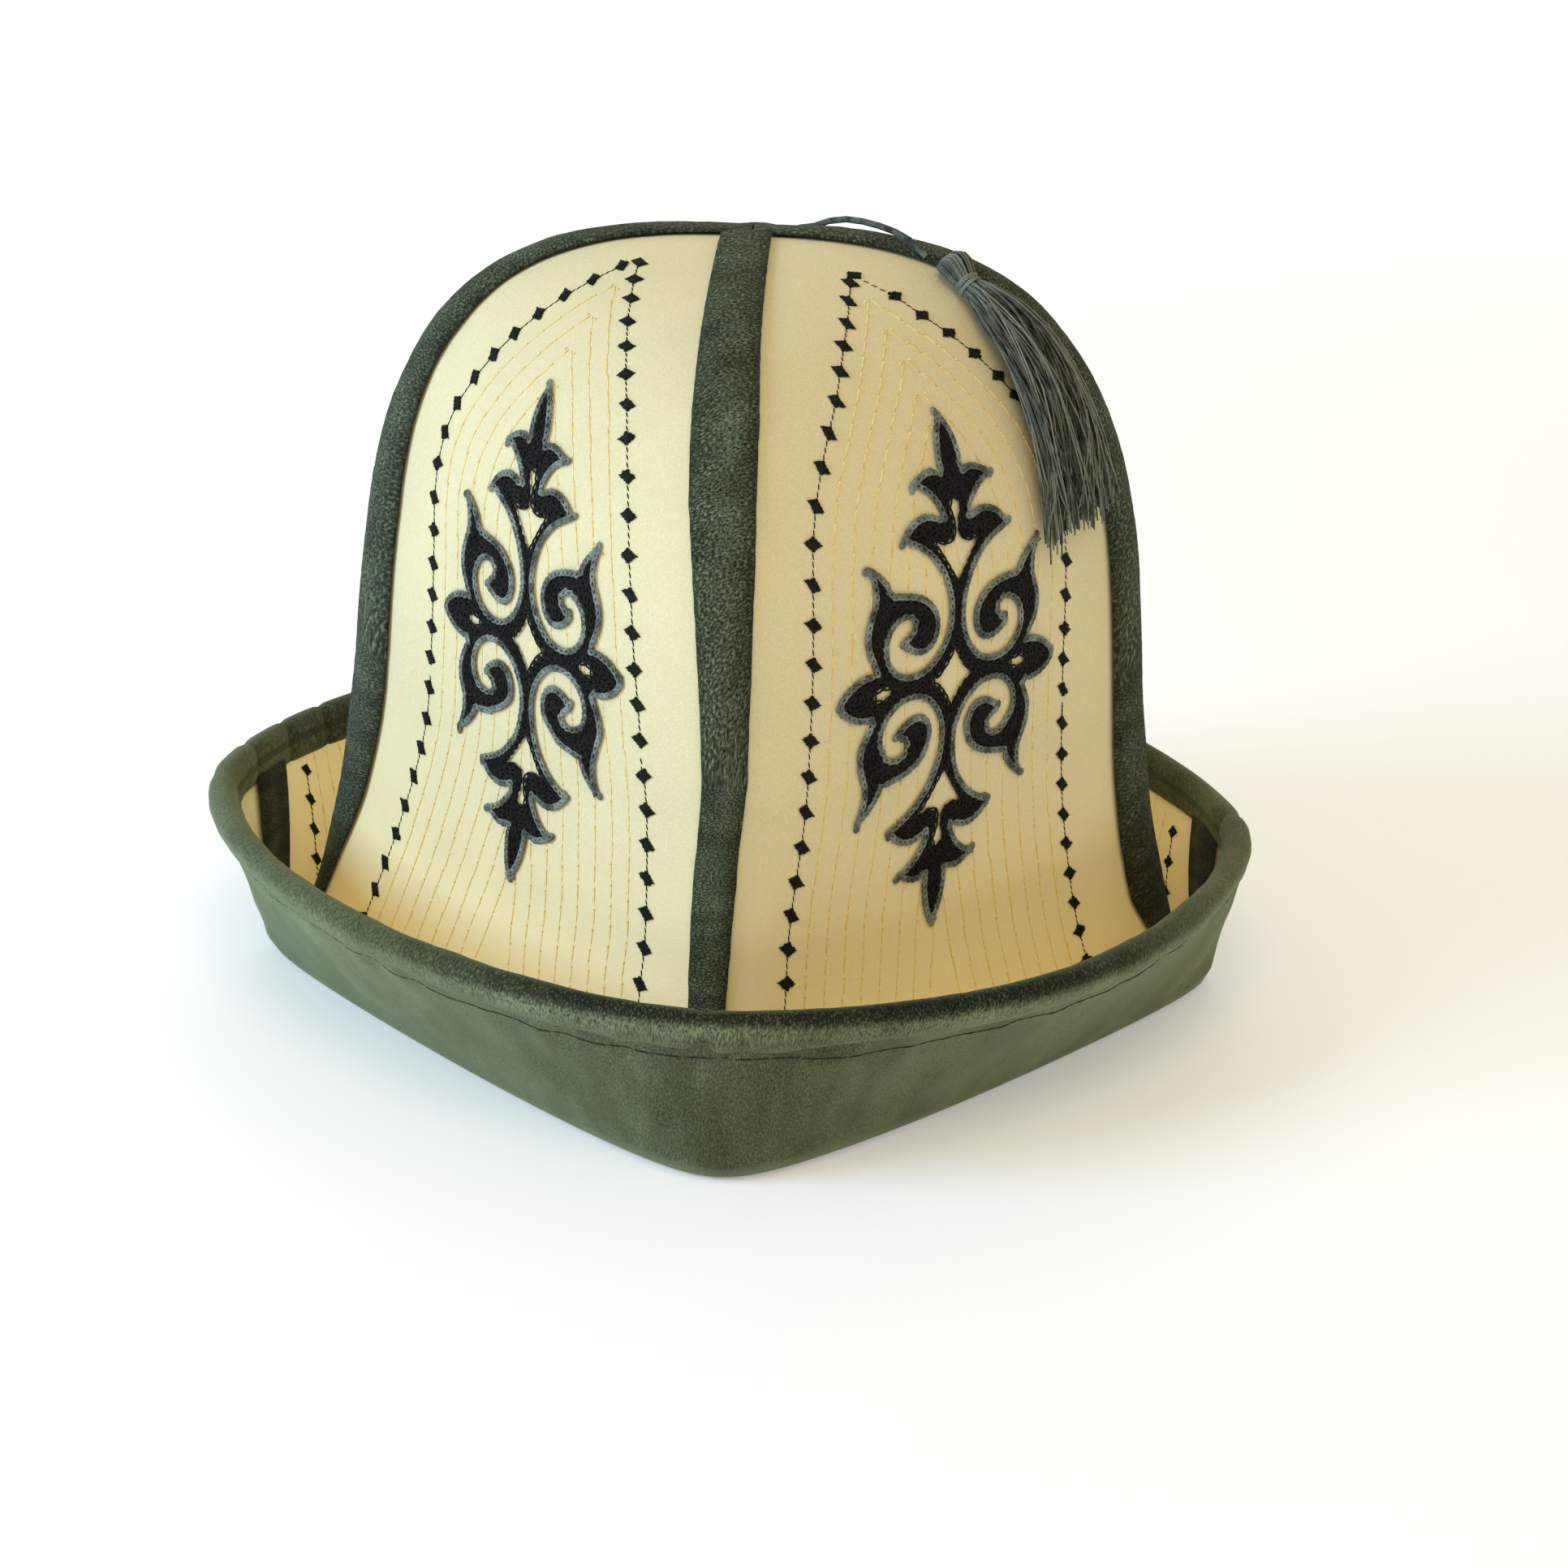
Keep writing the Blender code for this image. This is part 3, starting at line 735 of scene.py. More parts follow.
# The diamonds' places on each front panel, as (u, v) in millimetres: the chain's left side, then
# its right side, both from the peak down; after the last they go on at an even pitch
CHAINS = {
    "front_right": (
        ((0, 32), (-4.3, 37), (-9, 43), (-13.5, 48.5), (-18, 54.5), (-22.5, 61), (-27.3, 67.5),
         (-31.7, 74.3), (-35.5, 81.8), (-38, 89.2), (-39.5, 97.3), (-40.5, 105.3), (-41.3, 113.3),
         (-42, 121.2), (-42.8, 129), (-43.5, 136.5), (-44.5, 143.8), (-46, 151), (-47.8, 158),
         (-49.5, 164.7), (-51, 171.5), (-52.2, 178.5), (-53.7, 185.8), (-55.2, 193), (-57, 200)),
        ((2.5, 30.3), (7, 39.5), (9.8, 46.3), (13.5, 52.3), (17.3, 58.5), (21, 64.7), (24, 69.8),
         (27, 76.2), (29.2, 83), (30.6, 90.3), (31, 98), (30.7, 105.5), (30, 112.7), (29.5, 119.8),
         (29, 126.3), (29, 133.4), (28.8, 140.4), (28.8, 147.4), (28.8, 154.2), (29.2, 161.2),
         (29.9, 168), (30.6, 175), (31.4, 182), (32.6, 188.8), (34.2, 196), (36, 203)),
    ),
    "front_left": (
        ((-5.8, 32.5), (-8.3, 39.2), (-11.3, 45.8), (-14.3, 52.3), (-17.5, 58.5), (-20.5, 64.5),
         (-23.5, 70.5), (-26.5, 77), (-28.2, 83.5), (-28.5, 90), (-27.8, 96.8), (-26.5, 103.2),
         (-25.8, 110), (-25.5, 116.6), (-25.5, 123.5), (-25.8, 130.3), (-26, 137), (-26.8, 144.2),
         (-28.5, 151.3), (-30.8, 158.5), (-33.5, 166), (-36, 173.3), (-39, 181), (-41.5, 188),
         (-44, 195.5), (-46.5, 203)),
        ((-3.2, 29.5), (0.5, 34.2), (4.8, 39.2), (9.3, 45), (14, 50.8), (18.5, 57), (23, 63.3),
         (26.8, 70), (30.3, 77.5), (33.2, 85), (35.3, 92.8), (37.2, 100.5), (38.5, 108),
         (39.7, 115.4), (40.9, 122.5), (41.9, 129.8), (43.2, 137), (44.4, 144), (45, 151.2),
         (45.6, 158.2), (46.2, 165.5), (46.8, 172.8), (46.8, 180.5), (47.4, 188), (48.2, 195.5),
         (49.2, 203)),
    ),
}
BACK_CHAIN = CHAINS["front_right"][0]
CHAINS["back_left"] = (BACK_CHAIN, tuple((1.5 - u, v) for u, v in BACK_CHAIN))
CHAINS["back_right"] = CHAINS["back_left"]
CHAIN_CROWN_END = 1.97
DIAMOND_PITCH = 7.2
STITCHED_UP_TO = 3.74
BRIM_FROM = 2.3

# The gold lines: how many, their spacing at heights down the panel, and their stitches
GOLD_LINES = 8
GOLD_PITCH = 4.4
GOLD_SPACING = ((30, 5.7), (60, 5.5), (100, 4.7), (190, 4.95))
GOLD_SIZE = (GOLD_PITCH * 0.00102, 0.00046, 0.00030)
GOLD_LIFT = 0.00002
GLINT_SIZE = (0.00075, 0.00056, 0.00050)
GLINT_LIFT = 0.00010
GOLD_STRAY = 0.00009


def felt_line(panel, u, v, step):
    """A stitched line down the crown and on over the brim, as angles and ways at even steps."""
    angle, way = panel.place(u, v)
    reach = way < 1.995
    return by_steps(*over_brim(panel, angle[reach], way[reach]), step)


def over_brim(panel, angle, way):
    """A line down the crown, led on over the fold and up the brim's inner face."""
    column = panel.column(angle[-1:], way[-1:])
    brim_ways = np.linspace(way[-1], STITCHED_UP_TO, 60)[1:]
    return np.r_[angle, column_angle(panel.name, column, brim_ways)], np.r_[way, brim_ways]


def by_steps(angle, way, step):
    """A line on the felt again, at even steps in millimetres."""
    lengths = lengths_along(felt_point(angle, way) * 1000)
    places = np.arange(step / 2, lengths[-1], step)
    return np.interp(places, lengths, angle), np.interp(places, lengths, way)


def chain_of(panel, side, v):
    """Where the chain of diamonds is at heights down the panel."""
    line = smooth_line(CHAINS[panel.name][side], 1.0)
    return np.interp(v, line[:, 1], line[:, 0])


def gold_lines(panel):
    """The nested arches of gold stitches inside the chain, as (u, v) lines."""
    v = np.arange(30, 206, 1.0)
    left, right = chain_of(panel, 0, v), chain_of(panel, 1, v)
    spacing = np.interp(v, *zip(*GOLD_SPACING))
    lines = []
    for line in range(1, GOLD_LINES + 1):
        open_below = right - left > 2 * line * spacing
        closed = np.flatnonzero(~open_below)
        top = closed[-1] + 1 if len(closed) else 0
        for edge, sign in ((left, 1), (right, -1)):
            lines.append(((edge + sign * line * spacing)[top:], v[top:]))
    return lines


def stitched_lines(name, lines, model, lift, size, cloth):
    """Stitches along lines on the felt, given as lists of (angle, way)."""
    laid = []
    for angle, way in lines:
        points = felt_point(angle, way)
        laid.append((points, np.gradient(points, axis=0), felt_normal(angle, way)))
    start, ahead, out = (np.vstack(rows) for rows in zip(*laid))
    stray = np.random.default_rng(5).normal(0, GOLD_STRAY, (len(start), 1))
    start = start + unit(np.cross(out, ahead)) * stray + out * lift
    return finish_piece(copies(name, model, start, ahead, out, size), cloth)


def gold_work(panel, cloth):
    """The gold stitches of a panel, with a glint of thread where one ends and the next begins."""
    lines = [felt_line(panel, u, v, GOLD_PITCH) for u, v in gold_lines(panel)]
    stitch, glint = one_stitch(4, 3), one_stitch(4, 2)
    stitched_lines(f"gold_stitches_{panel.name}", lines, stitch, GOLD_LIFT, GOLD_SIZE, cloth)
    ends = [by_steps(np.r_[angle[0], angle], np.r_[2 * way[0] - way[1], way], GOLD_PITCH)
            for angle, way in lines]
    stitched_lines(f"gold_glints_{panel.name}", ends, glint, GLINT_LIFT, GLINT_SIZE, cloth)


# A diamond is seven slanted stitches across the chain: (place along it, share of the width)
DIAMOND_STITCHES = ((-3, 0.2), (-2, 0.46), (-1, 0.75), (0, 1.0), (1, 0.75), (2, 0.46), (3, 0.2))
DIAMOND_SIZE = (0.0047, 0.00082, 0.00075)
DIAMOND_STEP = 0.00041
DIAMOND_LIFT = 0.0002
DIAMOND_SLANT = math.radians(17)
SLANT_STRAY = 0.12
STITCH_STRAY = 0.00012
BRIM_DIAMONDS = 0.8
CHAIN_DASHES = 5
DASH_SIZE = (0.00155, 0.00036, 0.00036)
DASH_LEAN = 0.22


def diamond_chain(panel, cloth):
    """The chain of black diamonds beside the strips, and the twisted thread between them."""
    chance = np.random.default_rng(11)
    laid = []
    for side in CHAINS[panel.name]:
        angle, way = panel.place(*np.array(side, float).T)
        on_crown = way < CHAIN_CROWN_END
        angle, way = angle[on_crown], way[on_crown]
        on_brim = by_steps(*over_brim(panel, angle[-1:], way[-1:]), DIAMOND_PITCH)
        angle, way = np.r_[angle, on_brim[0][1:]], np.r_[way, on_brim[1][1:]]
        points, out = felt_point(angle, way), felt_normal(angle, way)
        ahead = unit(np.gradient(points, axis=0))
        across = np.cross(out, ahead)
        slant = DIAMOND_SLANT + chance.normal(0, SLANT_STRAY, (len(points), 1))
        slanted = across * np.cos(slant) + ahead * np.sin(slant)
        smaller = np.where(way > BRIM_FROM, BRIM_DIAMONDS, 1.0)[:, None]
        for place, share in DIAMOND_STITCHES:
            stray = chance.normal(0, STITCH_STRAY, (len(points), 1))
            start = points + ahead * place * DIAMOND_STEP + slanted * stray + out * DIAMOND_LIFT
            laid.append((start, slanted, out, np.array([share, 1, 1]) * DIAMOND_SIZE * smaller))
        shares = (np.arange(CHAIN_DASHES) + 0.5) / CHAIN_DASHES
        a, w = ((row[:-1, None] + np.diff(row)[:, None] * shares).ravel() for row in (angle, way))
        leaning = np.repeat(ahead[:-1] + across[:-1] * DASH_LEAN, CHAIN_DASHES, 0)
        laid.append((felt_point(a, w), leaning, felt_normal(a, w), np.full((len(a), 3), DASH_SIZE)))
    parts = (np.vstack(rows) for rows in zip(*laid))
    return finish_piece(copies(f"diamond_chain_{panel.name}", one_stitch(5, 4), *parts), cloth)


def embroidery(name, threads):
    """All the stitching of one gore."""
    panel = Panel(name)
    outline, holes = ornament_lines(OUTLINE_STEP)
    ornament_fill(panel, outline, holes, threads["black"])
    places, headings = stitch_rows(outline, holes, FILL_PITCH, FILL_SPACING, FILL_ROWS)
    laid_stitches(f"ornament_fill_{name}", one_chain_link(8, 3), panel, places, headings,
                  FILL_SIZE, FILL_LIFT, threads["black"])
    places, headings = along_outline(outline, CHAIN_PITCH)
    places = places + inwards(places, headings, outline, holes) * GREY_INSET
    piece = laid_stitches(f"ornament_outline_{name}", one_chain_link(9, 4), panel, places,
                          headings, GREY_SIZE, GREY_LIFT, threads["grey"])
    diamond_chain(panel, threads["black"])
    gold_work(panel, threads["gold"])


# The materials. The noises of the nap's grain and clouds are spread from these ranges, and the
# grain's lower part shows the roots of the pile and its upper part the tips
GRAIN_RANGE = (0.34, 0.66)
CLOUD_RANGE = (0.36, 0.64)
ROOTS = (0.0, 0.55)
TIPS = (0.55, 1.0)
# The grain's range that takes the painted sheen's glow, and the facing over which the painted sheen
# edge-on grows
GLOW_GRAIN = (0.15, 0.85)
FACING_RANGE = (0.25, 1.0)
THREAD_NAP = (1500, 350)
THREAD_RELIEF = 0.0001
CLOUD_SHARE = 0.25
PAPER = ((0.90, 0.90, 0.90), (0.92, 0.92, 0.92))


def feed(tree, socket, value):
    """Gives an input its number or colour, or links it to the socket that it reads."""
    if isinstance(value, bpy.types.NodeSocket):
        tree.links.new(value, socket)
    else:
        socket.default_value = (*value, 1) if socket.type == "RGBA" else value


def add_node(tree, kind, inputs=None, **settings):
    """A new shader node with its settings and with what its inputs read, by name or number."""
    node = tree.nodes.new(f"ShaderNode{kind}")
    for label, value in settings.items():
        setattr(node, label, value)
    for label, value in (inputs or {}).items():
        feed(tree, node.inputs[label], value)
    return node


def blend(tree, factor, first, second):
    """Mixes two colours, given as colours or as sockets, and returns the socket."""
    return add_node(tree, "Mix", {0: factor, 6: first, 7: second}, data_type="RGBA").outputs[2]


def scaled(tree, mask, low, high, bottom=0.0, top=1.0):
    """A mask spread from one range to another."""
    spread = {"From Min": low, "From Max": high, "To Min": bottom, "To Max": top, "Value": mask}
    return add_node(tree, "MapRange", spread).outputs["Result"]


def marked(tree, name, output="Fac"):
    """What a piece's vertices are marked with under that name."""
    return add_node(tree, "Attribute", attribute_name=name).outputs[output]


def nap_group():
    """Grain and clouds of a cloth with a nap, from places on it: two masks and a height."""
    group = bpy.data.node_groups.new("nap_of_the_cloth", "ShaderNodeTree")
    for label in ("Place", "Grain Scale", "Cloud Scale"):
        kind = "NodeSocketVector" if label == "Place" else "NodeSocketFloat"
        group.interface.new_socket(label, in_out="INPUT", socket_type=kind)
    for label in ("Grain", "Clouds", "Height"):
        group.interface.new_socket(label, in_out="OUTPUT", socket_type="NodeSocketFloat")
    given, result = group.nodes.new("NodeGroupInput"), group.nodes.new("NodeGroupOutput")
    place = given.outputs["Place"]
    grain = add_node(group, "TexNoise", {"Vector": place, "Scale": given.outputs["Grain Scale"],
                                         "Detail": 3, "Roughness": 0.62}).outputs["Fac"]
    clouds = add_node(group, "TexNoise", {"Vector": place, "Scale": given.outputs["Cloud Scale"],
                                          "Detail": 4}).outputs["Fac"]
    feed(group, result.inputs["Grain"], scaled(group, grain, *GRAIN_RANGE))
    feed(group, result.inputs["Clouds"], scaled(group, clouds, *CLOUD_RANGE))
    feed(group, result.inputs["Height"], grain)
    return group


def nap_at(tree, place, grain, clouds):
    """The nap's masks and height at those places."""
    inputs = {"Place": place, "Grain Scale": grain, "Cloud Scale": clouds}
    return add_node(tree, "Group", inputs, node_tree=NAP).outputs


def new_material(name, values):
    """A material, its node tree and its shader, whose plain values are set."""
    made = bpy.data.materials.new(name)
    made.use_nodes = True
    shader = made.node_tree.nodes["Principled BSDF"]
    for label, value in values.items():
        feed(made.node_tree, shader.inputs[label], value)
    return made, made.node_tree, shader


def cover(tree, shader, colour, height, relief):
    """Leads a material's colour and its relief in metres to its shader."""
    feed(tree, shader.inputs["Base Color"], colour)
    bump = add_node(tree, "Bump", {"Distance": relief, "Height": height})
    feed(tree, shader.inputs["Normal"], bump.outputs["Normal"])


def cloth_material(name, dark, middle, light, *, grain, clouds, cloud_depth, relief,
                   stretch=(1, 1, 1), edge=None, glow=None, shade=None, shade_tips=None,
                   lie=False):
    """A cloth with a nap: dark roots, light tips, clouds, and a pale painted sheen where it is seen
    edge-on.

    The edge is the colour of that painted sheen and how much of it shows. The glow is painted
    sheen, and paler nap on the brim, where the piece is marked so. The shade, with its tips, is
    painted shade on the velvet and painted warm light on the felt, where the piece is marked so.
    With lie, the grain follows the piece's own marks.
    """
    cloth, tree, shader = new_material(name, {"Roughness": 0.95, "Specular IOR Level": 0.15})
    if lie:
        place = marked(tree, "lie", "Vector")
    else:
        place = add_node(tree, "TexCoord").outputs["Object"]
    place = add_node(tree, "Mapping", {"Vector": place, "Scale": stretch}).outputs["Vector"]
    nap = nap_at(tree, place, grain, clouds)
    roots, tips = scaled(tree, nap["Grain"], *ROOTS), scaled(tree, nap["Grain"], *TIPS)
    colour = blend(tree, tips, blend(tree, roots, dark, middle), light)
    # Painted light and shade: where the piece is marked, the colour turns to the shade colour,
    # painted shade on the velvet and painted warm light on the felt
    if shade:
        painted_light_and_shade = blend(tree, tips, shade, shade_tips or middle)
        colour = blend(tree, marked(tree, "painted_light_and_shade"), colour, painted_light_and_shade)
    # Painted sheen: where the piece is marked, the lighter grain turns to the glow colour, with
    # paler nap on the brim
    if glow:
        masks = {0: marked(tree, "painted_sheen_and_paler_nap"), 1: scaled(tree, nap["Grain"], *GLOW_GRAIN)}
        glow_mask = add_node(tree, "Math", masks, operation="MULTIPLY").outputs["Value"]
        colour = blend(tree, glow_mask, colour, glow)
    value = scaled(tree, nap["Clouds"], 0.0, 1.0, 1 - cloud_depth, 1 + cloud_depth)
    colour = add_node(tree, "HueSaturation", {"Color": colour, "Value": value}).outputs["Color"]
    # Painted sheen: paler where the cloth turns edge-on to the view
    if edge:
        edge_colour, edge_share = edge
        facing = add_node(tree, "LayerWeight", {"Blend": 0.35}).outputs["Facing"]
        rim = scaled(tree, facing, *FACING_RANGE, 0.0, edge_share)
        colour = blend(tree, rim, colour, edge_colour)
    cover(tree, shader, colour, nap["Height"], relief)
    return cloth


def thread_material(name, dark, light, roughness, strands=False):
    """A thread: its colour varies from strand to strand, and fine fibres roughen it."""
    cloth, tree, shader = new_material(name, {"Roughness": roughness, "Specular IOR Level": 0.3})
    nap = nap_at(tree, add_node(tree, "TexCoord").outputs["Object"], *THREAD_NAP)
    mask = nap["Clouds"]
    if strands:
        strand = scaled(tree, marked(tree, "strand"), 0, 1, 0, 1 - CLOUD_SHARE)
        mixed = {0: mask, 1: CLOUD_SHARE, 2: strand}
        mask = add_node(tree, "Math", mixed, operation="MULTIPLY_ADD").outputs["Value"]
    cover(tree, shader, blend(tree, mask, dark, light), nap["Grain"], THREAD_RELIEF)
    return cloth


def paper_material():
    """The pale floor, with the faintest unevenness."""
    values = {"Roughness": 0.9, "Emission Color": (1, 1, 1), "Emission Strength": 0.28}
    paper, tree, shader = new_material("floor_paper", values)
    noise = add_node(tree, "TexNoise", {"Scale": 3})
    feed(tree, shader.inputs["Base Color"], blend(tree, noise.outputs["Fac"], *PAPER))
    return paper


def mark(piece, name, values):
    """Marks a piece's vertices with shares from 0 to 1 or with places, for its material."""
    values = np.asarray(values, np.float32)
    kind, field = ("FLOAT", "value") if values.ndim == 1 else ("FLOAT_VECTOR", "vector")
    piece.data.attributes.new(name, kind, "POINT").data.foreach_set(field, values.ravel())


# The felt gores, with painted warm light: warmer and lighter below a height, over a depth
GORE_COLUMNS, GORE_ROWS = 84, 160
GORE_TOP = 0.004
WARM_BELOW, WARM_DEPTH = 0.068, 0.026


def gore(name, cloth):
    """A felt gore: crown, fold and brim in one wall of felt."""
    piece, across, along = grid(f"felt_gore_{name}", GORE_COLUMNS, GORE_ROWS)
    way = even_ways(GORE_TOP, FELT_TOP, 1 - along)
    angle = column_angle(name, across * 90, way)
    angle = angle + GAP / 2 / from_axis(felt_point(angle, way)).clip(1e-4) * (1 - 2 * across)
    places = felt_point(angle, way)
    move_vertices(piece, places)
    # Painted warm light on the lower felt
    mark(piece, "painted_light_and_shade", ((WARM_BELOW - places[:, 2]) / WARM_DEPTH).clip(0, 1))
    thicken(piece, FELT)
    return finish_piece(piece, cloth, f"gore_{name}", f"brim_felt_{name}", slot="felt_cream")


# The velvet strips. Ripples are (wavelength, seed, height)
STRIP_COLUMNS, STRIP_LENGTHS = 24, 260
STRIP_END = ROLL_END + 0.03
STRIP_RIPPLES = ((0.022, 7, 0.00022), (0.003, 8, 0.00006))
STRIP_EDGE_RIPPLES = ((0.0035, 3, 0.00007),)

# How the strip's nap lies: along it for each way, askew, and across it
LIE_ALONG, LIE_SLANT, LIE_ACROSS = 0.07, 0.20, 0.42

# Painted sheen where a strip shines along its middle: place, width, share and how much the
# share changes
STRIP_SHEEN = (0.2, 0.42, 0.42, 0.5)

# Painted shade, how dark it is at its edges and low down, from a way that differs for the side
# strips
STRIP_EDGE_SHADE, STRIP_LOW_SHADE = 0.7, 0.75
SIDE_SHADE_FROM, SHADE_FROM, SHADE_LENGTH = 1.35, 1.9, 0.4

# The front strip wanders beside its seam: shift to the left and change of half width, in mm
FRONT_WAYS = (0.0, 0.30, 0.50, 0.64, 0.76, 0.92, 1.01, 1.19, 1.41, 1.55, 1.65, 2.0, 3.0)
FRONT_SHIFTS = (1.0, 1.0, 0.8, 0.8, 0.4, 0.0, 0.0, 1.3, 2.5, 2.8, 2.7, 2.2, 0.0)
FRONT_SPREADS = (0.0, 0.4, 0.8, 0.6, 0.0, -1.1, -1.7, -1.7, -1.1, -0.6, -0.4, 0.0, 0.0)


def strip_base(corner, way, across):
    """Points on the cloth under a seam strip, at a signed distance from the seam."""
    angle = seam_angle(corner, way)
    centre, out = felt_point(angle, way), felt_normal(angle, way)
    side = np.stack([-np.sin(angle), np.cos(angle), np.zeros_like(angle)], -1)
    side = unit(side - out * (side * out).sum(-1, keepdims=True))
    over_crown = settled(centre + side * across[..., None], -out)
    over_brim = felt_point(angle + across / from_axis(centre), way)
    return np.where((way < 2)[..., None], over_crown, over_brim), out


def strip_offset(corner, way, across, half_width):
    """Distance from the seam of places across a strip, where -1 and 1 are its edges."""
    front = TOWARDS_FRONT.get(corner, 0)
    if corner == "front":
        half_width = half_width + np.interp(way, FRONT_WAYS, FRONT_SPREADS) / 1000
        return across * half_width - np.interp(way, FRONT_WAYS, FRONT_SHIFTS) / 1000
    if not front:
        return across * half_width
    spread = np.interp(way, SPREAD_WAYS, SPREADS[corner])
    behind = np.interp(way, BEHIND_WAYS, BEHIND_SHARES)
    return across * np.where(across * front > 0, half_width + spread, half_width * behind)


def seam_strip(corner, cloth):
    """A padded velvet strip over a seam, from the apex down and up to the rim's roll."""
    piece, across, along = grid(f"velvet_strip_{corner}", STRIP_COLUMNS, STRIP_LENGTHS)
    across = np.sin((across * 2 - 1) * math.pi / 2)
    way = even_ways(STRIP_STARTS[corner], STRIP_END, 1 - along)
    ways, half_widths, paddings = zip(*STRIP_ROWS)
    half_width = np.interp(way, ways, half_widths) * np.interp(way, (2, 3), SEAMS[corner][3:])
    offset = strip_offset(corner, way, across, half_width)
    base, out = strip_base(corner, way, offset)
    offset = offset + ripples(base, STRIP_EDGE_RIPPLES) * np.abs(across) ** 3
    base, out = strip_base(corner, way, offset)
    rise = STRIP_EDGE + (np.interp(way, ways, paddings) - STRIP_EDGE) * np.sqrt(1 - across**2)
    rise = rise + ripples(base, STRIP_RIPPLES) * (1 - across**2)
    move_vertices(piece, base + out * (GAP + rise)[:, None])
    side = across * half_width
    lie = [way * LIE_ALONG + side * LIE_SLANT, side * LIE_ACROSS, side * 0]
    mark(piece, "lie", np.stack(lie, 1))
    # Painted sheen along the strip's middle
    place, width, share, change = STRIP_SHEEN
    sheen = bell((across - place) / width) * (share + change * ripple(base, 0.016, 9))
    mark(piece, "painted_sheen_and_paler_nap", sheen.clip(0, 1))
    # Painted shade at the strip's edges and low down by the brim
    shade_from = SIDE_SHADE_FROM if corner in TOWARDS_FRONT else SHADE_FROM
    low = STRIP_LOW_SHADE * ramp(way, shade_from, SHADE_LENGTH)
    mark(piece, "painted_light_and_shade", np.maximum(np.abs(across) ** 6 * STRIP_EDGE_SHADE, low))
    thicken(piece, STRIP_EDGE)
    return finish_piece(piece, cloth, f"seam_strip_{corner}", slot="velvet_strip")


# The brim's outer facing, with its ripples, a crease at the front and a patch of paler nap
FACING_COLUMNS, FACING_ROWS = 480, 40
FACING_START, FACING_END = 2.22, 3.85
WALL_FROM, WALL_LENGTH = 3.0, 0.15
FACING_RIPPLES = ((0.034, 21, 0.00045), (0.011, 22, 0.00018))
ROLL_EDGE_RIPPLES = ((0.009, 23, 0.00035),)
ROLL_EDGE_WAY, ROLL_EDGE_REACH = 3.72, 0.10
FRONT_CREASE = math.radians(-89.5)
CREASE_REACH, CREASE_DEPTH = 0.012, 0.0007
PALER_PATCH = math.radians(-150)
PATCH_REACH, PATCH_WAY, PATCH_HEIGHT, PATCH_SHARE = 0.10, 3.62, 0.12, 0.7
FOOT_WAY, FOOT_REACH, FOOT_SHARE = 2.9, 0.12, 0.35
WALL_SHARE = 0.12


def round_angle(turn, way):
    """Directions all round the hat for turns from 0 to 1, in step with the gores' columns."""
    quarter = np.clip(np.floor(turn * 4), 0, 3)
    angle = np.zeros_like(turn)
    for i, gore_name in enumerate(GORES):
        column = (turn * 4 - i) * 90
        angle = np.where(quarter == i, column_angle(gore_name, column, way), angle)
    return angle


def angle_from(angle, place):
    """How far a direction is from a place round the hat, the short way."""
    return (angle - place + math.pi) % (2 * math.pi) - math.pi


def facing_depth(angle, way):
    """How far the brim's outer face is from the felt's inner one, with the cloth's ripples."""
    face = felt_point(angle, way)
    below_roll = bell((ROLL_EDGE_WAY - way) / ROLL_EDGE_REACH)
    crease = bell(angle_from(angle, FRONT_CREASE) / CREASE_REACH) * CREASE_DEPTH
    relief = ripples(face, FACING_RIPPLES) + below_roll * ripples(face, ROLL_EDGE_RIPPLES) - crease
    return FELT + GAP + VELVET + ramp(way, WALL_FROM, WALL_LENGTH) * relief


def brim_facing(cloth):
    """The velvet on the brim's outer face, turned in under the fold."""
    piece, turn, up = grid("velvet_brim_facing", FACING_COLUMNS, FACING_ROWS)
    way = even_ways(FACING_START, FACING_END, up)
    angle = round_angle(turn, way)
    places = lifted(angle, way, -facing_depth(angle, way))
    places[:, 2] = places[:, 2].clip(0)
    move_vertices(piece, places)
    # Paler nap in a patch, at the foot and over the wall
    patch = bell(angle_from(angle, PALER_PATCH) / PATCH_REACH) * PATCH_SHARE
    patch *= bell((way - PATCH_WAY) / PATCH_HEIGHT)
    foot = bell((way - FOOT_WAY) / FOOT_REACH) * FOOT_SHARE
    wall = ramp(way, WALL_FROM, WALL_LENGTH) * WALL_SHARE
    wall = wall * (1 + ripple(felt_point(angle, way), 0.03, 24))
    mark(piece, "painted_sheen_and_paler_nap", (patch + foot + wall).clip(0, 1))
    edit_whole(piece, bpy.ops.mesh.remove_doubles, threshold=1e-6)
    edit_whole(piece, bpy.ops.mesh.normals_make_consistent, inside=False)
    nodes = [f"brim_facing_{name}" for name in GORES]
    return finish_piece(piece, cloth, *nodes, slot="velvet_brim")


# The rim's roll. A power below 1 makes its round section fuller
ROLL_COLUMNS, ROLL_SIDES = 720, 28
ROLL_FULLNESS = 0.80
ROLL_SWELL = ((0.028, 31, 0.00035),)
ROLL_PLEATS = ((0.0085, 32, 0.00045),)
ROLL_GRAIN = ((0.006, 33, 0.00012),)

# How its lower edge outside bulges, drops, wanders and is drawn in by stitches all round
ROLL_BULGE, ROLL_DROP = 0.0010, 0.0006
ROLL_WANDER = ((0.02, 34, 0.0004),)
ROLL_STITCHES, STITCH_DRAW = 210, 0.0002

# Where it is gathered: (direction in degrees, share)
GATHERS = ((-90, 0.7), (0, 0.6), (90, 0.8), (180, 1.0))
GATHER_REACH = 0.16

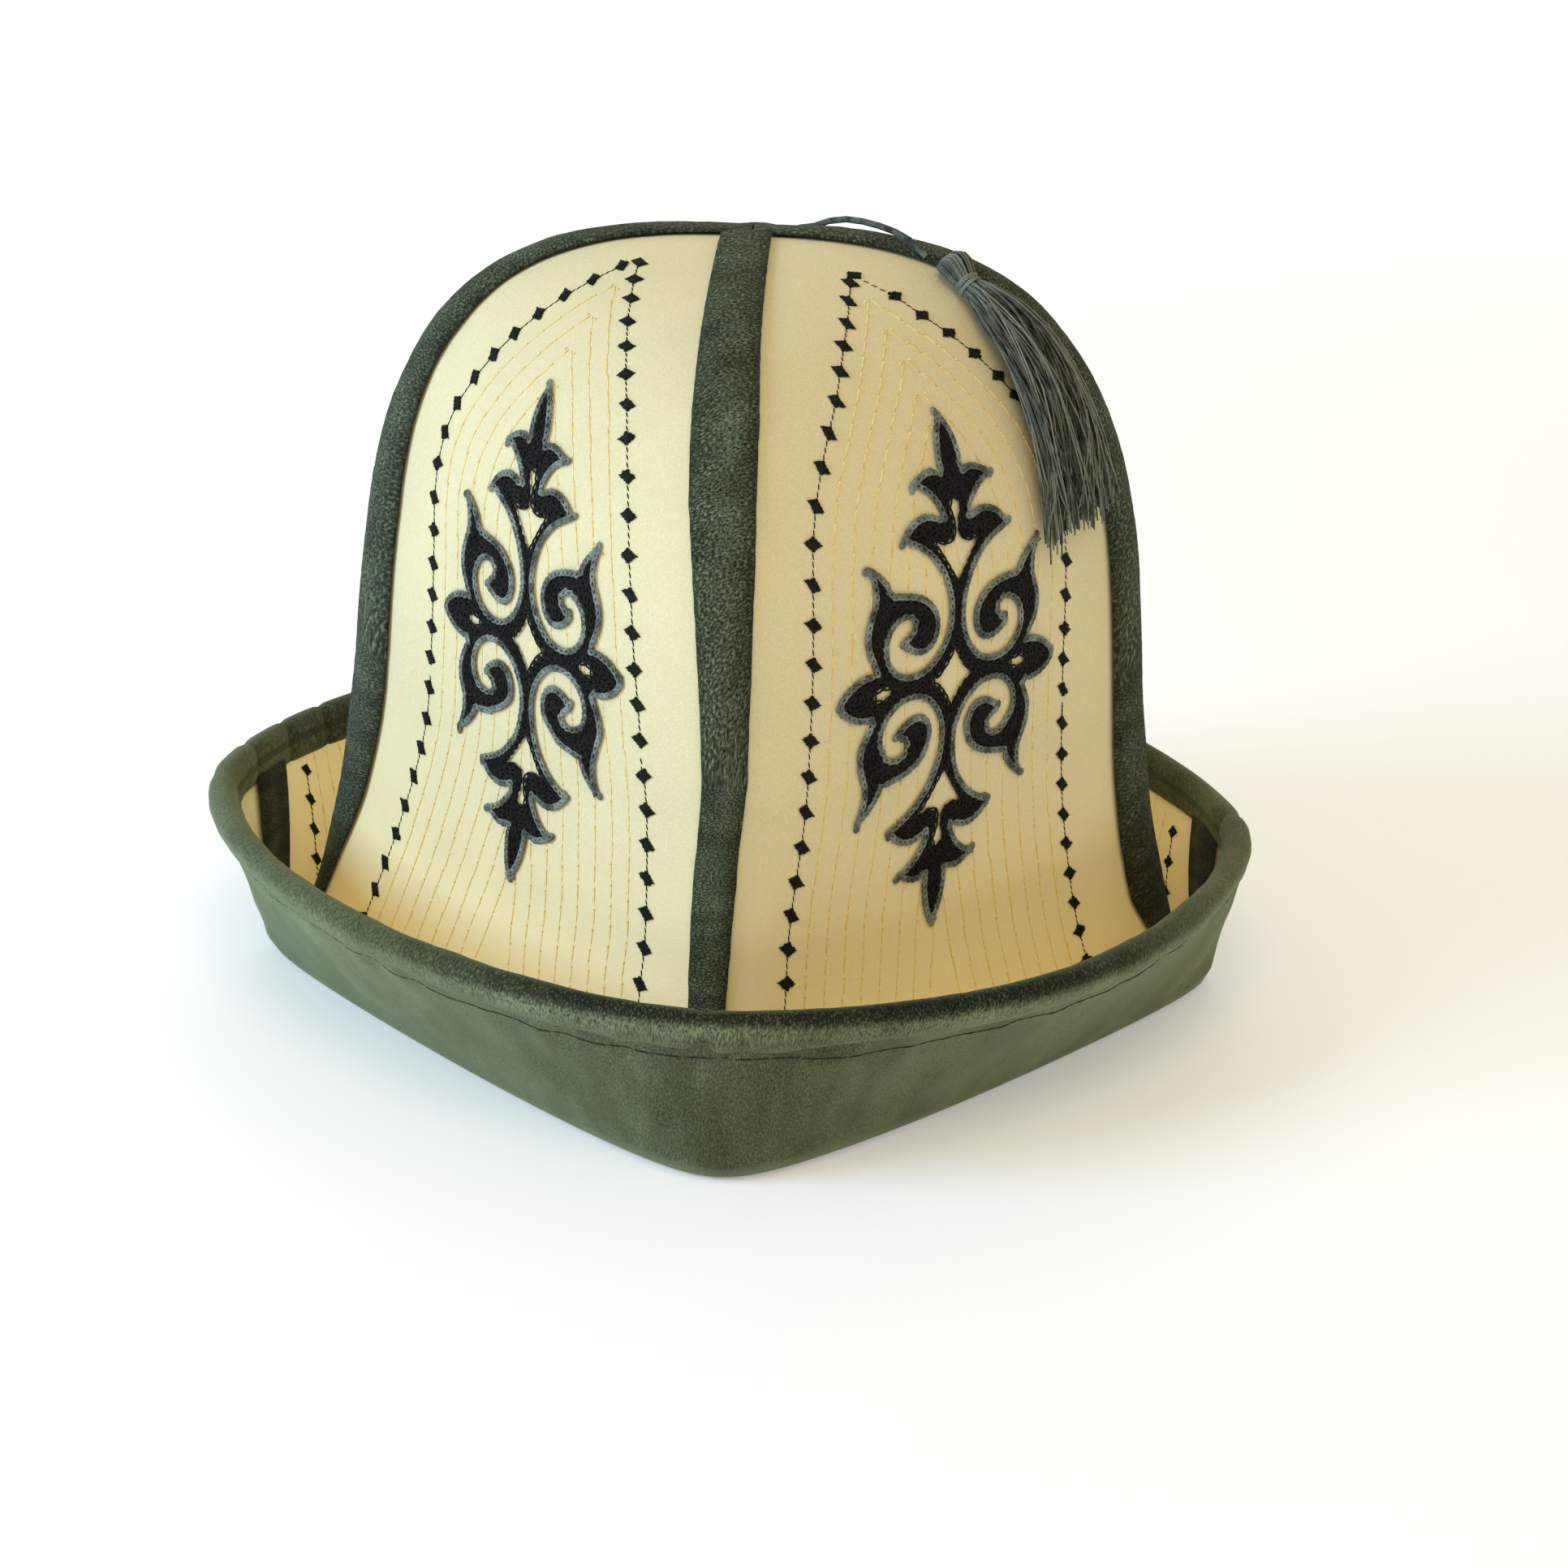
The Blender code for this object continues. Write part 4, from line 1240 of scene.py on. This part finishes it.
# Single folds across it: (direction in degrees, how far it leans in millimetres)
ROLL_FOLDS = ((157, 0), (165, 1.0), (172, -1.0), (-91, 0.5), (84, 0), (97, 0.5), (4, 0))
FOLD_WIDTH = 1.3
FOLD_CUT, FOLD_NICK = 0.0011, 0.0006
RIM_RADIUS = 110

# Its nap: a painted sheen at a height on the section, in streaks of the nap, and painted shade
# at the front, inside at the back and in the folds
LIE_ROUND = 0.0016
STREAK_PLACE, STREAK_WIDTH = math.radians(20), 0.40
STREAK_SHARE, STREAK_CHANGE = 0.62, 0.38
ROLL_SHADE = math.radians(-78)
TOP_SHADE_FROM, TOP_SHADE_BLUR = 0.62, 0.08
INNER_SHADE_BLUR = 0.12
FOLD_SHADE = 0.8


def fuller(value):
    """A sine or cosine made squarer, so that a round section fills out."""
    return np.sign(value) * np.abs(value) ** ROLL_FULLNESS


def soft_step(value):
    """Grows smoothly from 0 well below zero to 1 well above it."""
    return 1 / (1 + np.exp(-value))


def shape_roll(piece, turn, round_section, around, crest, folds):
    """Wraps a ring over the rim, with its gathers, its folds and its row of stitches."""
    end = np.full(len(turn), ROLL_END)
    foot = lifted(round_angle(turn, end), end, np.full(len(turn), -FELT / 2))
    out = felt_normal(around, np.full(len(turn), FELT_TOP))
    up, length = unit(crest - foot), np.linalg.norm(crest - foot, axis=1)
    gathers = sum(
        bell(angle_from(around, math.radians(place)) / GATHER_REACH) * share
        for place, share in GATHERS
    )
    swell = ripples(crest, ROLL_SWELL) + ripples(crest, ROLL_PLEATS) * gathers
    swell += ripples(crest, ROLL_GRAIN) - folds * FOLD_CUT
    seam = np.cos(round_section).clip(0, 1) * (-np.sin(round_section)).clip(0, 1) ** 2
    cosine, sine = fuller(np.cos(round_section)), fuller(np.sin(round_section))
    above, under = sine.clip(0, 1), (-sine).clip(0, 1)
    across = ROLL_BULGE * under * cosine.clip(0) - (ROLL_HALF_THICKNESS + swell) * cosine
    across += seam * STITCH_DRAW * np.sin(turn * 2 * math.pi * ROLL_STITCHES)
    rise = (length + ROLL_RISE) / 2 * (1 + sine) - folds * FOLD_NICK * above
    rise += ripples(crest, ROLL_WANDER) * seam - ROLL_DROP * under
    move_vertices(piece, foot + up * rise[:, None] + out * across[:, None])


def mark_roll(piece, round_section, around, crest, folds):
    """Marks how the roll's nap lies, its painted sheen and its painted shade."""
    mark(piece, "lie", np.stack([crest[:, 0], crest[:, 1], round_section * LIE_ROUND], 1))
    # Painted sheen in a band on the outer shoulder, broken into streaks of the nap
    streaks = bell((round_section - STREAK_PLACE) / STREAK_WIDTH)
    streaks = streaks * (STREAK_SHARE + STREAK_CHANGE * ripple(crest, 0.02, 35))
    mark(piece, "painted_sheen_and_paler_nap", streaks.clip(0, 1))
    # Painted shade on the top side near the front, on the inner side and in the folds
    near_front = ramp(np.cos(angle_from(around, ROLL_SHADE)), 0.60, 0.3)
    near_back = ramp(np.cos(angle_from(around, math.pi / 2)), 0.1, 0.5, high=0.6)
    top_side = soft_step((np.sin(round_section) - TOP_SHADE_FROM) / TOP_SHADE_BLUR)
    inner = soft_step(-np.cos(round_section) / INNER_SHADE_BLUR)
    painted_light_and_shade = np.maximum(top_side, inner) * near_front + inner * near_back
    mark(piece, "painted_light_and_shade", np.maximum(painted_light_and_shade, folds.clip(0, 1) * FOLD_SHADE))


def rim_roll(cloth):
    """The padded velvet roll that binds the rim."""
    bpy.ops.mesh.primitive_torus_add(
        major_segments=ROLL_COLUMNS, minor_segments=ROLL_SIDES, major_radius=2, minor_radius=1
    )
    piece = bpy.context.object
    piece.name = piece.data.name = "velvet_rim_roll"
    x, y, z = vertex_places(piece).T
    turn = np.arctan2(y, x) / (2 * math.pi) % 1
    round_section = np.arctan2(z, np.hypot(x, y) - 2)
    top = np.full(len(turn), FELT_TOP)
    around = round_angle(turn, top)
    crest = lifted(around, top, np.full(len(turn), -FELT / 2))
    folds = sum(
        bell((angle_from(around, math.radians(place)) * RIM_RADIUS + lean) / FOLD_WIDTH)
        for place, lean in ROLL_FOLDS
    )
    shape_roll(piece, turn, round_section, around, crest, folds)
    mark_roll(piece, round_section, around, crest, folds)
    return finish_piece(piece, cloth, "rim_roll", slot="velvet_roll")


# The stitches under the roll, longest and thickest at the front. Being dark, they also paint
# the shade in the groove under the roll, which is deepest at the front
TOPSTITCHES = 250
TOPSTITCH_WAY, TOPSTITCH_WANDER = 3.742, 0.008
TOPSTITCH_LEAST = (0.0024, 0, 0)
TOPSTITCH_MORE = (0.0013, 0.00034, 0.0005)


def topstitch(cloth):
    """The row of dark stitches that holds the roll's lower edge down on the brim and paints the
    shade in the groove there.
    """
    turn = np.arange(TOPSTITCHES) / TOPSTITCHES
    wander = ripple(felt_point(turn * 2 * math.pi, 3.74), 0.02, 34)
    way = TOPSTITCH_WAY + wander * TOPSTITCH_WANDER
    angle = round_angle(turn, way)
    out = -felt_normal(angle, way)
    places = felt_point(angle, way) + out * facing_depth(angle, way)[:, None]
    ahead = np.roll(places, -1, axis=0) - np.roll(places, 1, axis=0)
    # Painted shade: the stitches grow towards the front, where the groove under the roll is shaded
    front_shade = ramp(np.cos(angle_from(angle, ROLL_SHADE)), 0.2, 0.6, low=0.35)[:, None]
    sizes = TOPSTITCH_LEAST + front_shade * TOPSTITCH_MORE
    piece = copies("thread_topstitch", one_stitch(5, 4), places, ahead, out, sizes)
    return finish_piece(piece, cloth)


# The tassel's middle line and outline: degrees from the right, height, half width, half thickness
TASSEL_ROWS = (
    (-12.0, 0.1632, 0.0012, 0.0010),
    (-12.4, 0.1627, 0.0031, 0.0026),
    (-13.1, 0.1620, 0.0038, 0.0033),
    (-14.1, 0.1612, 0.0033, 0.0029),
    (-15.2, 0.1600, 0.0023, 0.0021),
    (-16.0, 0.1582, 0.0039, 0.0029),
    (-16.6, 0.1552, 0.0063, 0.0036),
    (-17.1, 0.1507, 0.0080, 0.0040),
    (-17.7, 0.1439, 0.0090, 0.0040),
    (-18.1, 0.1351, 0.0102, 0.0035),
    (-18.0, 0.1267, 0.0115, 0.0029),
    (-17.7, 0.1183, 0.0126, 0.0023),
    (-17.4, 0.1109, 0.0130, 0.0016),
)
TASSEL_NECK = 4 / 12
TASSEL_END = 11 / 12
TASSEL_THREADS = 260
STRAY_THREADS = 9
THREAD_RADIUS = 0.00019
BINDING_TURNS = 7
BINDING_HALF_HEIGHT = 0.022
BINDING_SIDES = 16
BINDING_MARGIN = THREAD_RADIUS * 1.4
TASSEL_CLEARANCE = 1.12

# How the threads stray: their ends, places and reach, and the waves that they hang in
END_STRAY, TURN_STRAY, REACH_STRAY = 0.024, 1.3, 0.35
LONGER = (0.02, 0.07)
LEAST_REACH = 0.12
HEAD_REACH = 0.86
TASSEL_WAVES = ((4, 9, 0.12), (14, 26, 0.035))
WAVE_LIFT = 0.0002
STRAND_DARKNESS = 1.5


def tubes(name, paths, radius, sides=4):
    """One mesh of thin round threads along many paths of equally many points."""
    paths = np.asarray(paths)
    count, length = paths.shape[:2]
    ahead = unit(np.gradient(paths, axis=1))
    side = unit(np.cross(ahead, [0.31, 0.22, 0.92]))[:, :, None]
    up = np.cross(side, ahead[:, :, None])
    turns = 2 * math.pi * np.arange(sides)[:, None] / sides
    rings = paths[:, :, None] + radius * (side * np.cos(turns) + up * np.sin(turns))
    faces = []
    for start in range(0, count * length * sides, length * sides):
        for low in range(start, start + (length - 1) * sides, sides):
            for k in range(sides):
                after = (k + 1) % sides
                faces.append((low + k, low + after, low + sides + after, low + sides + k))
        faces.append(tuple(range(start, start + sides))[::-1])
        faces.append(tuple(range(start + (length - 1) * sides, start + length * sides)))
    piece = new_piece(name, rings, faces)
    edit_whole(piece, bpy.ops.mesh.normals_make_consistent, inside=False)
    strand = np.random.default_rng(4).uniform(0, 1, count) ** STRAND_DARKNESS
    mark(piece, "strand", np.repeat(strand, length * sides))
    return piece


def crown_place(degrees, height, lift):
    """Points over the crown and their outward directions."""
    angle = np.radians(degrees)
    point = crown_point(angle, height)
    across = crown_point(angle + 1e-3, height) - crown_point(angle - 1e-3, height)
    along = crown_point(angle, height - 1e-3) - point
    out = unit(np.cross(along, across))
    return point + out * np.asarray(lift)[..., None], out


def tassel_frame(shares):
    """The tassel's middle points, sideways and outward directions and sizes along it."""
    rows = np.array(TASSEL_ROWS)
    at = np.linspace(0, 1, len(rows))
    degrees, height, half_width, half_thickness = (np.interp(shares, at, row) for row in rows.T)
    centre, out = crown_place(degrees, height, half_thickness * TASSEL_CLEARANCE + 3 * GAP)
    side = unit(np.cross(out, np.gradient(centre, axis=-2)))
    return centre, side, out, half_width, half_thickness


def tassel_path(shares, across, rise, margin=0.0, lift=0.0):
    """A line in the tassel, from shares of its half width and half thickness."""
    centre, side, out, half_width, half_thickness = tassel_frame(shares)
    across, rise = across * (half_width + margin), rise * (half_thickness + margin) + lift
    return centre + side * across[:, None] + out * rise[:, None]


def tassel(cloth):
    """The tassel: a looped head, a bound neck and a skirt of loose threads."""
    chance = np.random.default_rng(8)
    paths = []
    for i in range(TASSEL_THREADS):
        stray = i < STRAY_THREADS
        end = TASSEL_END * (1 + chance.normal(0, END_STRAY))
        end = min(end + (chance.uniform(*LONGER) if stray else 0), 1)
        shares = np.r_[np.linspace(0.02, TASSEL_NECK, 6), np.linspace(TASSEL_NECK, end, 15)[1:]]
        turn = chance.uniform(0, 2 * math.pi)
        reach = math.sqrt(chance.uniform(LEAST_REACH, 1))
        turn_end = turn + chance.normal(0, TURN_STRAY)
        reach_end = min(1.0, abs(reach + chance.normal(0, REACH_STRAY)))
        if stray:
            turn_end, reach_end = math.pi + chance.normal(0, 0.3), chance.uniform(0.85, 1.1)
        fade = np.clip((shares - TASSEL_NECK) / (TASSEL_END - TASSEL_NECK), 0, 1)
        spread = reach + (reach_end - reach) * fade
        spread = np.where(shares < TASSEL_NECK, max(reach, HEAD_REACH), spread)
        around = turn + (turn_end - turn) * fade
        wave = sum(
            np.sin(fade * chance.uniform(fewest, most) + chance.uniform(0, 6)) * height * fade
            for fewest, most, height in TASSEL_WAVES
        )
        across, rise = spread * np.cos(around) + wave, spread * np.sin(around)
        paths.append(tassel_path(shares, across, rise, lift=WAVE_LIFT * wave))
    skirt = tubes("thread_tassel_skirt", paths, THREAD_RADIUS)
    finish_piece(skirt, cloth, "tassel", slot="thread_blue_grey")
    turns = np.linspace(0, BINDING_TURNS * 2 * math.pi, BINDING_TURNS * BINDING_SIDES)
    shares = TASSEL_NECK + np.linspace(-BINDING_HALF_HEIGHT, BINDING_HALF_HEIGHT, len(turns))
    path = tassel_path(shares, np.cos(turns), np.sin(turns), margin=BINDING_MARGIN)
    return finish_piece(tubes("thread_tassel_binding", [path], THREAD_RADIUS), cloth)


def tassel_cord(cloth):
    """The cord from the apex to the tassel's head."""
    route = np.array([(AXIS_X + x, y, CROWN_HEIGHT) for x, y, _ in CORD_ROUTE])
    lift = np.array([lift for _, _, lift in CORD_ROUTE])
    down = np.array([0.0, 0.0, -1.0])
    route = settled(route, np.broadcast_to(down, route.shape)) - down * lift[:, None]
    route = np.vstack([route, TASSEL_HEAD])
    line = bpy.data.curves.new("tassel_cord_line", "CURVE")
    line.dimensions = "3D"
    line.bevel_depth = CORD_RADIUS
    line.bevel_resolution = 3
    line.use_fill_caps = True
    spline = line.splines.new("POLY")
    spline.points.add(len(route) - 1)
    for place, point in zip(spline.points, route):
        place.co = (*point, 1.0)
    piece = bpy.data.objects.new("thread_cord", line)
    bpy.context.scene.collection.objects.link(piece)
    line.materials.append(cloth)
    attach(piece, "root")
    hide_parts("tassel_cord")
    return piece


# The camera at the photograph's place, the light and the floor
CAMERA_PLACE = (0.0237, -0.6952, 0.3099)
CAMERA_TURN = (69.010, -1.492, 2.246)
CAMERA_LENS = 75.503
CAMERA_SHIFT = (0.02473, -0.000414)
FLOOR_SIZE = 60
WORLD_COLOUR = (1.0, 0.93, 0.72, 1)
WORLD_STRENGTH = 0.42
HAT_MIDDLE = (0, 0, 0.08)
LIGHTS = (
    # name, place, aim, size, power, colour
    ("key_light", (-1.25, -0.55, 0.72), HAT_MIDDLE, 0.7, 17.2, (0.46, 0.715, 1.0)),
    ("side_light", (1.2, -0.35, 0.7), HAT_MIDDLE, 1.0, 0.4, (1.0, 0.82, 0.52)),
    ("front_light", (0.05, -0.9, 1.35), HAT_MIDDLE, 0.8, 5.9, (1.0, 0.83, 0.54)),
    ("backdrop_light", (0, 2.6, 1.2), (0, 2.6, 0), 2.0, 34, (1.0, 1.0, 1.0)),
)


def add_camera():
    """The camera at the photograph's place."""
    bpy.ops.object.camera_add(location=CAMERA_PLACE)
    camera = bpy.context.object
    camera.rotation_euler = [math.radians(a) for a in CAMERA_TURN]
    camera.data.lens = CAMERA_LENS
    camera.data.sensor_width = 36
    camera.data.shift_x, camera.data.shift_y = CAMERA_SHIFT
    bpy.context.scene.camera = camera


def add_floor():
    """The wide floor that the hat stands on."""
    bpy.ops.mesh.primitive_plane_add(size=FLOOR_SIZE)
    floor = bpy.context.object
    floor.name = "floor"
    floor.data.materials.append(paper_material())


def add_lights():
    """The large soft studio lights and the light from all round."""
    for name, place, aim, size, power, colour in LIGHTS:
        bpy.ops.object.light_add(type="AREA", location=place)
        light = bpy.context.object
        light.name = name
        light.data.size, light.data.energy, light.data.color = size, power, colour
        light.rotation_euler = (Vector(aim) - Vector(place)).to_track_quat("-Z", "Y").to_euler()
    world = bpy.context.scene.world or bpy.data.worlds.new("studio")
    bpy.context.scene.world = world
    world.use_nodes = True
    background = world.node_tree.nodes["Background"]
    background.inputs["Color"].default_value = WORLD_COLOUR
    background.inputs["Strength"].default_value = WORLD_STRENGTH
    bpy.context.scene.view_settings.view_transform = "Standard"


NAP = nap_group()
add_camera()
blue_grey = thread_material("thread_blue_grey", (0.030, 0.036, 0.034), (0.150, 0.170, 0.160), 0.75)
tassel_cord(blue_grey)
add_floor()

# Its shade colours are painted warm light for the lower felt
felt = cloth_material(
    "felt_cream", (0.78, 0.67, 0.40), (0.81, 0.70, 0.43), (0.86, 0.77, 0.53),
    grain=2300, clouds=45, cloud_depth=0.02, relief=0.00012, shade=(0.99, 0.84, 0.50),
    shade_tips=(1.0, 0.90, 0.60),
)
threads = {
    "black": thread_material("thread_black", (0.003, 0.003, 0.003), (0.010, 0.010, 0.009), 0.85),
    "grey": thread_material("thread_grey", (0.075, 0.088, 0.082), (0.290, 0.322, 0.300), 0.85),
    "gold": thread_material("thread_gold", (1.0, 0.68, 0.19), (1.0, 0.87, 0.42), 0.3),
}
for gore_name in GORES:
    gore(gore_name, felt)
    embroidery(gore_name, threads)

# Its edge and glow colours are painted sheen, and its shade colour painted shade
strip_velvet = cloth_material(
    "velvet_strip", (0.010, 0.012, 0.007), (0.052, 0.062, 0.037), (0.215, 0.245, 0.155),
    grain=3500, clouds=240, cloud_depth=0.28, relief=0.0005, lie=True,
    edge=((0.09, 0.11, 0.08), 0.4), glow=(0.170, 0.205, 0.145), shade=(0.016, 0.020, 0.012),
)
for corner in CORNERS:
    seam_strip(corner, strip_velvet)
# Its edge colour is a painted sheen where the brim turns edge-on
brim_facing(
    cloth_material(
        "velvet_brim", (0.045, 0.053, 0.026), (0.088, 0.103, 0.054), (0.158, 0.182, 0.100),
        grain=4200, clouds=110, cloud_depth=0.22, relief=0.0003, stretch=(1, 1, 0.3),
        edge=((0.38, 0.43, 0.26), 0.6), glow=(0.27, 0.31, 0.18),
    )
)
# Its edge and glow colours are painted sheen, and its shade colour painted shade
rim_roll(
    cloth_material(
        "velvet_roll", (0.052, 0.062, 0.032), (0.108, 0.126, 0.067), (0.185, 0.212, 0.118),
        grain=3000, clouds=90, cloud_depth=0.18, relief=0.0005, lie=True,
        edge=((0.34, 0.39, 0.25), 0.6), glow=(0.29, 0.34, 0.20), shade=(0.012, 0.015, 0.010),
    )
)
topstitch(thread_material("thread_topstitch", (0.012, 0.016, 0.009), (0.035, 0.043, 0.025), 0.9))
dark, light = (0.008, 0.010, 0.008), (0.290, 0.315, 0.265)
tassel(thread_material("thread_tassel", dark, light, 0.85, strands=True))
add_lights()
